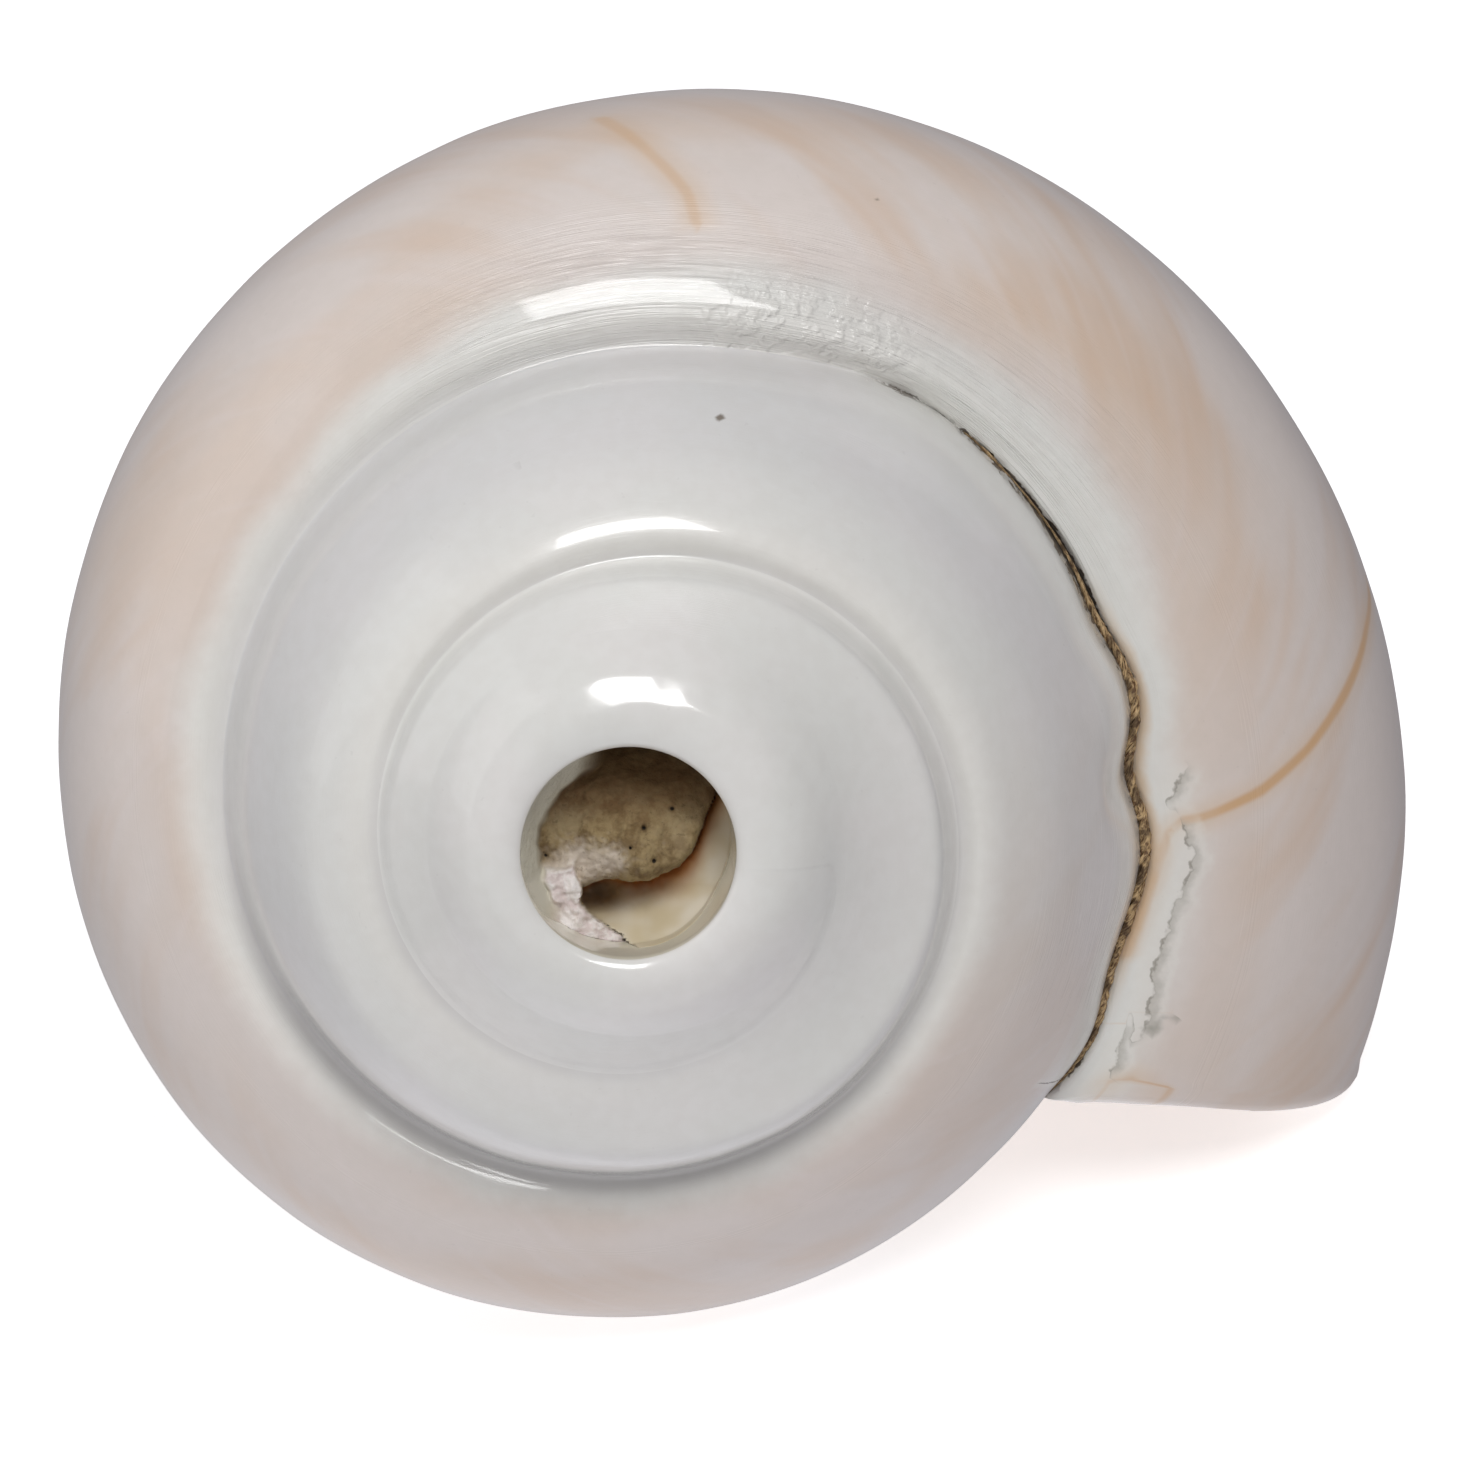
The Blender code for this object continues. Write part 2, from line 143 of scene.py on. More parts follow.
# The suture before the lip: growth angle and how far it wanders outwards, its depth and its half width in mm
SEAM_WANDERS = (
    (-1.95, 0.0), (-1.77, 0.55), (-1.65, 0.8), (-1.42, 0.65), (-1.28, 0.42), (-1.13, 0.18), (-1.0, 0.0),
    (-0.9, 0.48), (-0.79, 0.2), (-0.69, -0.62), (-0.6, 0.12), (-0.52, 0.52), (-0.41, 0.24),
    (-0.33, -0.04), (-0.26, 0.02), (-0.17, 0.52), (-0.07, 0.35), (0.0, 0.0),
)
SEAM_DEPTH = (
    (-1.9, 0.0), (-1.7, 0.25), (-1.45, 0.5), (-1.3, 0.85), (-0.12, 0.85), (-0.03, 0.3), (0.0, 0.0),
)
SEAM_HALF_WIDTH = (
    (-1.9, 0.16), (-1.42, 0.2), (-1.15, 0.34), (-0.85, 0.56), (-0.5, 0.5), (-0.2, 0.38), (0.0, 0.2),
)
SEAM_REACH = 2.6
SEAM_NEAR, SEAM_FAR, SEAM_LIMIT = 8.0, 9.0, 8.9
# How finely its depth crumbles and up to which angle, and the surface's two wave lengths and height in mm
CRUMBLES = (26.0, -1.25)
RIPPLE = (11.0, 4.5, 0.1)
WORN_ROUNDS, WORN_WHORLS, CREST_WORN = 60, 3, 0.1
RELAX_STEP = 0.6
CREST_DROPS = (
    (-3.3, 0.0), (-2.7, -0.12), (-2.2, -0.6), (-1.93, -0.8), (-1.7, -0.25), (-1.35, 0.75), (-1.1, 0.95),
    (0.0, 0.95),
)

# The brown residue in the suture: growth angle and half width in mm, and its twist
RESIDUE = (
    (-1.5, 0.04), (-1.42, 0.12), (-1.38, 0.05), (-1.28, 0.06), (-1.18, 0.08), (-1.1, 0.13),
    (-1.0, 0.27), (-0.86, 0.46), (-0.72, 0.42), (-0.6, 0.5), (-0.48, 0.42), (-0.3, 0.38), (-0.16, 0.34),
    (-0.07, 0.22), (-0.012, 0.09),
)
RESIDUE_TWIST = 2.4
THICK_STRANDS, FIBRES, FIBRE_RADIUS = 3, 5, 0.07

# Marks on the last whorl, as growth angle and place, and what these measure on it in mm
ORANGE_LINES = (
    (
        (-0.315, 0.02), (-0.37, 0.024), (-0.423, 0.026), (-0.495, 0.036), (-0.556, 0.06), (-0.575, 0.1),
        (-0.575, 0.15), (-0.6, 0.29), (-0.65, 0.43), (-0.72, 0.585), (-0.785, 0.73), (-0.83, 0.86),
    ),
    ((-2.28, 0.77), (-2.21, 0.58), (-2.145, 0.43), (-2.125, 0.33)),
    ((-0.009, 0.088), (-0.036, 0.092), (-0.063, 0.112), (-0.063, 0.136), (-0.045, 0.17), (-0.009, 0.219)),
)
SCAR = (
    ((-0.666, 0.112), (-0.639, 0.092), (-0.621, 0.078)),
    ((-0.567, 0.102), (-0.486, 0.131), (-0.459, 0.122), (-0.441, 0.102), (-0.405, 0.117)),
    (
        (-0.441, 0.102), (-0.414, 0.092), (-0.378, 0.097), (-0.324, 0.092), (-0.279, 0.092),
        (-0.225, 0.107), (-0.198, 0.112), (-0.162, 0.117),
    ),
    ((-0.16, 0.07), (-0.13, 0.074), (-0.1, 0.083), (-0.075, 0.09)),
)
# Where a grey shadow is painted below the scar's foot
SCAR_FOOT_SHADOW = (((-0.15, 0.108), (-0.165, 0.13), (-0.198, 0.175)),)
SPECKS = ((-1.846, 0.501), (-8.313, 0.613), (-8.826, 0.516))
AROUND_MM, ACROSS_MM = 42.0, 31.0
FAR_AWAY = 20.0

# The broken core in the bore, seen along the view: its edges in mm from the bore's centre
MASS_EDGE = (
    (-7.5, 1.6), (-5.2, 1.3), (-4.0, 1.7), (-3.05, 2.4), (-2.0, 2.02), (-1.06, 1.87), (0.15, 2.1),
    (1.37, 2.02), (2.9, 1.26), (4.0, 0.25), (4.6, -0.95), (5.0, -2.1), (5.9, -4.3), (7.5, -8.0),
)
LEDGE_EDGE = (
    (0.0, -3.4), (1.4, -3.3), (2.4, -3.05), (3.5, -3.05), (4.2, -2.45), (4.9, -1.4), (5.6, -0.5),
    (7.6, 0.9),
)
CORE_PITS = ((0.97, -1.48, 0.16), (1.6, 0.65, 0.17), (2.8, -2.7, 0.16), (-5.3, 0.3, 0.14), (0.1, -0.2, 0.12))
CORE_BOTTOM, CORE_FOOT_SHARE = 31.2, 0.93
CORE_RADIUS = 6.95
CORE_GAP, CORE_BITES = 0.02, 0.12
CORE_SEEN_FROM = 16.0
CORE_ASIDE = 0.09
CORE_GRAINS = (2.4, 0.9, 0.34)
MASS_DEPTH, PASSAGE_DEPTH, LEDGE_DEPTH, WALL_DEPTH = 21.0, 24.6, 19.4, 17.2
VIEW_RUNS = 0.166

# Lights: place right, up and back from the shell by the camera in metres, size in metres, power in watts
LIGHTS = (
    ("key", (0.095, 0.46, 0.89), (0.36, 0.46), 5.0),
    ("window", (-0.85, 0.35, 0.5), (0.7, 0.9), 1.0),
)
LIGHT_TARGET = (0.0, -0.06, 0.04)
WORLD_LEFT, WORLD_RIGHT, WORLD_ACROSS = (0.4, 0.395, 0.41, 1.0), (0.205, 0.198, 0.212, 1.0), (-0.35, 0.9)
WORLD_BELOW, WORLD_DOWN = 2.9, (-0.3, -0.95)
FLOOR_HALF, FLOOR_COLOUR, FLOOR_GLOW = 3.0, (0.9, 0.9, 0.9, 1.0), 0.62


# Mesh density, and from which angle in degrees an edge is sharp
PER_TURN = 300
HOLLOW_PER_TURN = 96
BORE_SIDES = 96
GUTTER_STEPS, GUTTER_SIDES = 50, 18
LIP_STEPS = 8
RESIDUE_STEPS, STRAND_SIDES = 520, 8
CORE_RINGS, CORE_SIDES = 84, 240
HALVINGS = 40
SHELL_SHARP, DIRT_SHARP = 50, 80

# Kinds of surface, which the materials tell apart by their number
KINDS = ("outside", "hollow", "bore", "gutter", "residue", "core")


class Curve:
    """A natural cubic spline through keys, read at any array of places."""

    def __init__(self, keys, column=1):
        self.x = np.array([k[0] for k in keys], float)
        self.y = np.array([k[column] for k in keys], float)
        n = len(self.x)
        gap = np.diff(self.x)
        rise = np.diff(self.y) / gap
        matrix = np.eye(n)
        right = np.zeros(n)
        for i in range(1, n - 1):
            matrix[i, i - 1 : i + 2] = gap[i - 1], 2 * (gap[i - 1] + gap[i]), gap[i]
            right[i] = 6 * (rise[i] - rise[i - 1])
        self.bend = np.linalg.solve(matrix, right)

    def __call__(self, at):
        at = np.asarray(at, float)
        i = np.clip(np.searchsorted(self.x, at) - 1, 0, len(self.x) - 2)
        gap = self.x[i + 1] - self.x[i]
        a = (self.x[i + 1] - at) / gap
        b = (at - self.x[i]) / gap
        cubic = ((a**3 - a) * self.bend[i] + (b**3 - b) * self.bend[i + 1]) * gap**2 / 6
        return a * self.y[i] + b * self.y[i + 1] + cubic


BODY_RADIUS, BODY_DEPTH = Curve(BODY_OUTLINE), Curve(BODY_OUTLINE, 2)
SPIRE_RADIUS, SPIRE_DEPTH = Curve(SPIRE_OUTLINE), Curve(SPIRE_OUTLINE, 2)
TREND = Curve(WIDTH_TREND)
SETBACK = Curve(LIP_SETBACK)
SEAM_CURVE = Curve(SEAM_WANDERS)
CREST = Curve(CREST_DROPS)
CORE_MASS, CORE_LEDGE = Curve(MASS_EDGE), Curve(LEDGE_EDGE)
SEAM_SPREAD = Curve(SEAM_HALF_WIDTH)


def smoothstep(low, high, x):
    s = np.clip((np.asarray(x, float) - low) / (high - low), 0.0, 1.0)
    return s * s * (3 - 2 * s)


def place_on_whorl(t, v):
    """Radius and depth of the outer surface at growth angles t and places v."""
    t, v = np.broadcast_arrays(np.asarray(t, float), np.asarray(v, float))
    size = np.exp(GROWTH * t)
    radius, depth = BODY_RADIUS(v), BODY_DEPTH(v)
    on_spire = np.minimum(v, 1.0)
    fade = (1 - smoothstep(SPIRE_ENDS, SPIRE_ENDS + SPIRE_BLEND, t)) * (1 - smoothstep(1.0, 1.45, v))
    radius = radius + fade * (SPIRE_RADIUS(on_spire) - BODY_RADIUS(on_spire))
    depth = depth + fade * (SPIRE_DEPTH(on_spire) - BODY_DEPTH(on_spire))
    trend = (TREND(np.maximum(t, SPIRE_ENDS)) - 1) * smoothstep(SPIRE_ENDS, SPIRE_ENDS + 0.8, t)
    radius = radius * (1 + trend * smoothstep(0.1, 0.9, v) * (1 - smoothstep(1.3, 1.8, v)))
    on_ledge = smoothstep(0.0, 0.05, v) * np.exp(-(((v - 0.1) / 0.1) ** 2))
    depth = depth + np.where(t > CREST_DROPS[0][0], CREST(t), 0.0) * on_ledge
    tip_share = smoothstep(1.4, 1.93, v)
    narrow_share = 0.35 * smoothstep(1.45, 2.0, v)
    return radius * size ** (1 - narrow_share), depth * size ** (1 - tip_share)


def lip_angle(t, v):
    return t - SETBACK(v) * np.maximum(0.0, 1 + t / LIP_SPAN)


def around(angle, radius, depth):
    angle, radius, depth = np.broadcast_arrays(angle, radius, depth)
    return np.stack([radius * np.cos(angle), -radius * np.sin(angle), -np.asarray(depth, float)], axis=-1)


def from_bore(points):
    return np.hypot(points[..., 0] - BORE_OFFSET[0], points[..., 1] - BORE_OFFSET[1])


def ground(points):
    """Nothing on the spire stands above a smooth cone round the bore."""
    out = from_bore(points) - FLANK[0]
    cone = FLANK[1] + FLANK_SLOPE * out - FLANK_CURVE * out * out
    gap = -points[..., 2] - cone
    depth = cone + (gap + np.sqrt(gap * gap + GRIND_SOFT**2)) / 2
    near = out <= FLANK_SLOPE / (2 * FLANK_CURVE)
    result = points.copy()
    result[..., 2] = np.where(near, -depth, points[..., 2])
    return result


def surface(t, v, turned_in=0.0, set_back=0.0):
    """Points of the outer surface, optionally pushed into the wall to round the lip."""
    t, v = np.broadcast_arrays(np.asarray(t, float), np.asarray(v, float))
    radius, depth = place_on_whorl(t, v)
    fade = smoothstep(0.0, 0.12, v) * (1 - smoothstep(1.85, 2.0, v))
    if turned_in:
        before = np.stack(place_on_whorl(t, np.maximum(0.0, v - 0.01)))
        after = np.stack(place_on_whorl(t, np.minimum(2.0, v + 0.01)))
        along = after - before
        along /= np.linalg.norm(along, axis=0)
        radius = radius - along[1] * turned_in * fade
        depth = depth + along[0] * turned_in * fade
    angle = lip_angle(t, v) - fade * set_back / radius
    return ground(around(angle, radius, depth))


class Grid:
    """Collects rows of points, the faces between them and where each point is on the whorls."""

    def __init__(self):
        self.points, self.places, self.faces = [], [], []
        self.count = 0

    def rows(self, rows, t=0.0, v=0.0, closed=False):
        """Rows is an array of rows of points; returns the index of each point."""
        rows = np.asarray(rows, float)
        shape = rows.shape[:2]
        index = self.count + np.arange(rows.shape[0] * rows.shape[1]).reshape(shape)
        places = np.stack([np.broadcast_to(t, shape), np.broadcast_to(v, shape)], axis=-1)
        self.points.append(rows.reshape(-1, 3))
        self.places.append(places.reshape(-1, 2).astype(float))
        self.count += index.size
        self.stitch(index, closed)
        return index

    def stitch(self, index, closed=False):
        for one, two in zip(index, index[1:]):
            following = np.roll(one, -1), np.roll(two, -1)
            quads = np.stack([one, following[0], following[1], two], axis=1)
            self.faces.extend((quads if closed else quads[:-1]).tolist())

    def tube(self, rows, t=0.0, v=0.0):
        """Rows that run round, closed at both ends."""
        index = self.rows(rows, t, v, closed=True)
        self.faces.extend([index[0].tolist(), index[-1].tolist()])

    def mesh(self, name, merge=0.003):
        """A closed mesh whose face corners carry growth angle, place and kind of surface."""
        mesh = bpy.data.meshes.new(name)
        mesh.from_pydata(np.concatenate(self.points).tolist(), [], self.faces)
        corners = read(mesh.loops, "vertex_index", 1, np.int32)[:, 0]
        places = np.concatenate(self.places)[corners]
        kind = np.full(len(places), float(KINDS.index(name)))
        set_vectors(mesh, "growth", "CORNER", *places.T, kind)
        bm = bmesh.new()
        bm.from_mesh(mesh)
        bmesh.ops.remove_doubles(bm, verts=bm.verts, dist=merge)
        bmesh.ops.recalc_face_normals(bm, faces=bm.faces)
        bm.to_mesh(mesh)
        bm.free()
        return mesh


def read(items, name, width, kind=np.float32):
    """A row of numbers for each item of a mesh."""
    values = np.empty(len(items) * width, kind)
    items.foreach_get(name, values)
    return values.reshape(-1, width)


def coordinates(mesh):
    return read(mesh.vertices, "co", 3).astype(float)


def set_vectors(mesh, name, domain, *columns):
    """Stores three numbers for each corner or point, for the materials to read."""
    attribute = mesh.attributes.get(name) or mesh.attributes.new(name, "FLOAT_VECTOR", domain)
    attribute.data.foreach_set("vector", np.stack(columns, axis=1).astype(np.float32).ravel())


def add_object(name, data):
    thing = bpy.data.objects.new(name, data)
    bpy.context.scene.collection.objects.link(thing)
    return thing


def noise_at(*place):
    """Smooth noise at arrays of places in space, from -1 to 1."""
    place = np.stack(np.broadcast_arrays(*place), axis=-1)
    values = [noise.noise(Vector(spot)) for spot in place.reshape(-1, 3)]
    return np.reshape(values, place.shape[:-1])


def spaced(low, high, count, ends=1.0):
    """Places from low to high, closer together at low when ends is over 1."""
    return low + (high - low) * np.linspace(0, 1, count) ** ends


SPIRE_PLACES = np.concatenate(
    [spaced(0, 0.1, 11, 1.4), spaced(0.1, 0.93, 22)[1:], 1 - spaced(0, 0.07, 8, 1.4)[::-1][1:]]
)
BASE_PLACES = np.concatenate([spaced(1.0, 1.9, 40)[1:], spaced(1.9, 2.0, 8)[1:]])


def growth_steps(first, last):
    """Growth angles of the steps from first to last, without those that the lip's rounding takes."""
    step = np.arange(first, last + 1)
    before_lip = (-step * TURN / PER_TURN) % TURN
    return TURN * step[(before_lip < 1e-9) | (before_lip > LIP_LAP * 1.2)] / PER_TURN


def flank_places(t):
    """Places on the whorls at growth angles t that lie on the round edge of the ground top."""
    low, high = np.zeros_like(t), np.ones_like(t)
    for _ in range(HALVINGS):
        middle = (low + high) / 2
        inside = from_bore(surface(t, middle)) < FLANK[0]
        low = np.where(inside, middle, low)
        high = np.where(inside, high, middle)
    return (low + high) / 2


def outside_mesh():
    """The whole shell as if it were solid."""
    grid = Grid()
    start = -PER_TURN
    while from_bore(surface(TURN * (start - 1) / PER_TURN, 0.0)) >= FLANK[0]:
        start -= 1
    t = growth_steps(start - PER_TURN, start)
    inner = flank_places(t)
    inner[0], inner[-1] = 1.0, 0.0
    places = inner[:, None] + (1 - inner[:, None]) * SPIRE_PLACES
    early = surface(t[:, None], places)
    grid.rows(early, t[:, None], places)
    edge = early[:-1, 0]
    middle = growth_steps(start, -PER_TURN)[:, None]
    grid.rows(surface(middle, SPIRE_PLACES), middle, SPIRE_PLACES)
    places = np.concatenate([SPIRE_PLACES, BASE_PLACES])
    late = growth_steps(-PER_TURN, 0)[:-1]
    last = [*surface(late[:, None], places)]
    for k in range(LIP_STEPS + 1):
        turn = math.pi / 2 * k / LIP_STEPS
        last.append(surface(0.0, places, LIP_ROUND * (1 - math.cos(turn)), LIP_ROUND * (1 - math.sin(turn))))
    last.append(surface(0.0, places, LIP_ROUND + LIP_LAND, 0.0))
    late = np.concatenate([late, np.zeros(LIP_STEPS + 2)])
    index = grid.rows(last, late[:, None], places)
    below = index[0, len(SPIRE_PLACES) - 1 :]
    grid.faces.append([*index[-1].tolist(), *below[::-1].tolist()])
    close_tip(grid, index[:, -1], late)
    rings = [edge]
    out = edge - (*BORE_OFFSET, 0.0)
    for radius, depth in fine_rim():
        share = (radius / np.hypot(out[:, 0], out[:, 1]))[:, None]
        moved = (FLANK[0] - radius) / (FLANK[0] - RIM[0][0])
        centre = np.array(BORE_OFFSET) + moved * np.subtract(BORE_CENTRE, BORE_OFFSET)
        ring = np.concatenate([out[:, :2] * share + centre, np.full((len(out), 1), -depth)], axis=1)
        rings.append(ring)
    index = grid.rows(rings, t[:-1], RIM_PLACE, closed=True)
    grid.faces.append(index[-1].tolist())
    return grid.mesh("outside")


def fine_rim():
    """The rim's profile from the flank in, as a smooth curve."""
    keys = [(0, *FLANK), *((i + 1, *key) for i, key in enumerate(RIM[::-1]))]
    radius, depth = Curve(keys), Curve(keys, 2)
    at = np.linspace(0, len(RIM), 4 * len(RIM) + 1)[1:]
    return list(zip(radius(at), depth(at)))


def close_tip(grid, rim, t):
    points = np.concatenate(grid.points)[rim]
    angle = np.arctan2(points[:, 1], points[:, 0])
    ring = TIP_RADIUS * np.stack([np.cos(angle), np.sin(angle), 0 * angle], axis=1) - (0.0, 0.0, TIP_DEPTH)
    first = grid.count
    grid.points.append(np.concatenate([ring, [[0.0, 0.0, -TIP_DEPTH - TIP_DOME]]]))
    grid.places.append(np.stack([np.append(t, t[0]), np.full(len(rim) + 1, TIP_PLACE)], 1))
    grid.count += len(ring) + 1
    inner = np.arange(first, first + len(ring))
    centre = first + len(ring)
    for k in range(len(rim)):
        n = (k + 1) % len(rim)
        grid.faces.append([int(rim[k]), int(rim[n]), int(inner[n]), int(inner[k])])
        grid.faces.append([int(inner[k]), int(inner[n]), centre])


def hollow_section(t):
    """The hollow's section at growth angle t, as in the solid, with more points."""
    size = math.exp(GROWTH * min(t, 0.0))
    past = max(0.0, t)
    flare = LIP_FLARE if t >= 0 else 0.0
    if -LIP_LAP < t < 0:
        flare = LIP_FLARE * (1 - math.sqrt(max(0.0, 1 - ((t + LIP_LAP) / LIP_LAP) ** 2)))
    centre = np.array(HOLLOW_CENTRE)
    rows = []
    for k, key in enumerate(HOLLOW_OUTER):
        away = np.array(key) - centre
        away /= np.linalg.norm(away)
        corner = 0.35 if k == 0 else 1.0
        radius, depth = np.array(key) + away * corner * (flare + past * centre[0])
        v = np.interp(k, (0, 1, 4, 7, 9), (0.1, 0.3, 1.05, 1.6, 1.78))
        rows.append((lip_angle(t, v) if t < 0 else t - SETBACK(v), radius * size, depth * size))
    opening = float(smoothstep(0.0, MOUTH_OPENS, past))
    for v, radius, depth in HOLLOW_INNER:
        radius += sum(high * math.exp(-(((depth - at) / PLAIT_WIDTH) ** 2)) for at, high in PLAITS)
        radius, depth = radius * size, depth * size
        under = place_on_whorl(t - TURN, v)
        hug = float(smoothstep(-1.0, 0.0, t) * (1 - smoothstep(1.4, 1.55, v)))
        clear = -0.3 + 0.36 * float(smoothstep(-0.5, 0.0, t))
        radius += hug * (under[0] + clear - radius)
        depth += hug * (under[1] + clear - depth)
        radius += opening * (under[0] + MOUTH_CLEAR[0] - radius)
        depth += opening * (under[1] + MOUTH_CLEAR[1] - depth)
        rows.append((t, radius, depth))
    shrink = 1 - (1 - NARROWED) * float(smoothstep(-NARROWS_FROM, -NARROWS_TO, -t))
    core = np.array(HOLLOW_CORE) * size
    section = np.array(rows, float)
    section[:, 1:] = core + (section[:, 1:] - core) * shrink
    looped = np.column_stack([np.arange(len(rows) + 1), np.vstack([section, section[:1]])])
    at = np.linspace(0, len(rows), 3 * len(rows) + 1)[:-1]
    return around(*(Curve(looped, column)(at) for column in (1, 2, 3)))


def hollow_mesh():
    even = np.linspace(HOLLOW_ENDS, -0.12, int(-HOLLOW_ENDS / TURN * HOLLOW_PER_TURN))
    lip = [-LIP_LAP * k for k in (1.0, 0.8, 0.6, 0.42, 0.28, 0.16, 0.08)]
    steps = [*even, *lip, 0.0, 0.04, 0.1, 0.2, 0.3, 0.4, 0.5, 0.6, 0.72, 0.84, 1.0, MOUTH_OPENS]
    grid = Grid()
    sections = [hollow_section(t) for t in steps]
    grid.tube(sections, np.array(steps)[:, None], np.linspace(0, 2, len(sections[0])))
    return grid.mesh("hollow")


def gutter_mesh():
    keys = [Curve(GUTTER, c) for c in (1, 2, 3)]
    rows = []
    for depth in np.linspace(GUTTER[0][0], GUTTER[-1][0], GUTTER_STEPS):
        facing, floor, half = (float(curve(depth)) for curve in keys)
        angle = math.radians(facing)
        along = np.array((math.cos(angle), math.sin(angle), 0.0))
        across = np.array((-math.sin(angle), math.cos(angle), 0.0))
        down = np.array((0.0, 0.0, -depth))
        row = []
        for k in range(GUTTER_SIDES + 1):
            turn = math.pi * k / GUTTER_SIDES
            row.append(down + along * (floor + half - half * math.sin(turn)) + across * half * math.cos(turn))
        row.append(down + along * GUTTER_REACH - across * half * 1.1)
        row.append(down + along * GUTTER_REACH + across * half * 1.1)
        rows.append(row)
    grid = Grid()
    grid.tube(rows)
    return grid.mesh("gutter")


def bore_mesh():
    angle = TURN * np.arange(BORE_SIDES) / BORE_SIDES
    grid = Grid()
    grid.tube([around(angle, radius, depth) + (*BORE_CENTRE, 0.0) for radius, depth in BORE])
    return grid.mesh("bore")


def rest_matrix(points):
    """The pose in which the shell lies, in metres, fitted inside the frame's box."""
    lean = Matrix.Rotation(math.pi / 2 - AXIS_RISES, 4, "X")
    roll = Matrix.Rotation(LIES_ON - math.pi / 2, 4, "Z")
    turn = lean @ roll
    points = points @ np.array(turn.to_3x3()).T
    low, high = points.min(0), points.max(0)
    box = np.array(CAD_BOX)
    scale = BOX_SHARE * float(((box[1] - box[0]) / (high - low)).min())
    shift = (box[0] + box[1]) / 2 - scale * (low + high) / 2
    shift[2] = box[0][2] - scale * low[2]
    return Matrix.Translation(shift) @ turn @ Matrix.Scale(scale, 4)


def seam_place(points, whorl=0):
    """Growth angle and distance out from a whorl's suture, the last being 0, for points about the axis."""
    t = np.arctan2(-points[:, 1], points[:, 0])
    t = np.where(t > 0, t - TURN, t) - TURN * whorl
    radius, depth = place_on_whorl(t, 0.0)
    out = np.hypot(points[:, 0], points[:, 1]) - radius
    near = np.abs(-points[:, 2] - depth) < SEAM_NEAR
    return t, np.where(near, np.clip(out, -SEAM_FAR, SEAM_FAR), SEAM_FAR * np.sign(out))


def relax(mesh, points, share, rounds):
    """Moves points towards the middle of their neighbours as far as share says, to round off valleys."""
    one, two = read(mesh.edges, "vertices", 2, np.int32).T
    inside = share > 0
    kept = inside[one] | inside[two]
    one, two = one[kept], two[kept]
    count = np.bincount(one, minlength=len(points)) + np.bincount(two, minlength=len(points))
    for _ in range(rounds):
        for column in range(3):
            values = points[:, column]
            total = np.bincount(one, values[two], len(points)) + np.bincount(two, values[one], len(points))
            middle = np.where(count > 0, total / np.maximum(count, 1), values)
            points[:, column] = values + RELAX_STEP * share * (middle - values)
    return points


def shape_by_hand(mesh):
    """Lets the suture wander and sink before the lip, and the ground surface ripple."""
    points = coordinates(mesh)
    t, out = seam_place(points)
    across = np.hypot(points[:, 0], points[:, 1])
    wander = np.where(t > SEAM_WANDERS[0][0], SEAM_CURVE(t), 0.0) * np.exp(-((out / SEAM_REACH) ** 2))
    crumbled = np.clip(0.45 + 1.5 * noise_at(t * CRUMBLES[0], 0.0, 4.0), 0.0, 1.0)
    sink = np.interp(t, *np.transpose(SEAM_DEPTH), left=0.0) * np.exp(-((out / SEAM_SPREAD(t)) ** 2))
    points[:, :2] *= (1 + wander / np.maximum(across, 1.0))[:, None]
    points[:, 2] -= sink * np.where(t < CRUMBLES[1], crumbled, 1.0)
    worn = np.zeros(len(points))
    for whorl in range(WORN_WHORLS):
        angle, gap = seam_place(points, whorl)
        near_seam = 1 - smoothstep(0.6, 1.8, np.abs(gap) / np.exp(GROWTH * angle))
        worn = np.maximum(worn, near_seam * (1 - smoothstep(-2.1, -1.6, angle)))
    on_crest = smoothstep(0.5, 2.0, out) * (1 - smoothstep(6.5, 9.0, out))
    ground_flat = smoothstep(-3.4, -2.8, t) * (1 - smoothstep(-1.7, -1.2, t))
    worn = np.maximum(worn, CREST_WORN * on_crest * ground_flat)
    points = relax(mesh, points, worn, WORN_ROUNDS)
    normals = read(mesh.vertices, "normal", 3)
    long_wave, short_wave, high = RIPPLE
    ripple = np.array(
        [noise.noise(Vector(p) / long_wave) + 0.4 * noise.noise(Vector(p) / short_wave) for p in points]
    )
    points += normals * (high * ripple)[:, None]
    mesh.vertices.foreach_set("co", points.astype(np.float32).ravel())
    strength = smoothstep(-1.85, -1.6, t) * (1 - smoothstep(-0.07, -0.025, t)) * (np.abs(out) < SEAM_LIMIT)
    set_vectors(mesh, "seam", "POINT", out, t, strength)
    mesh.update()


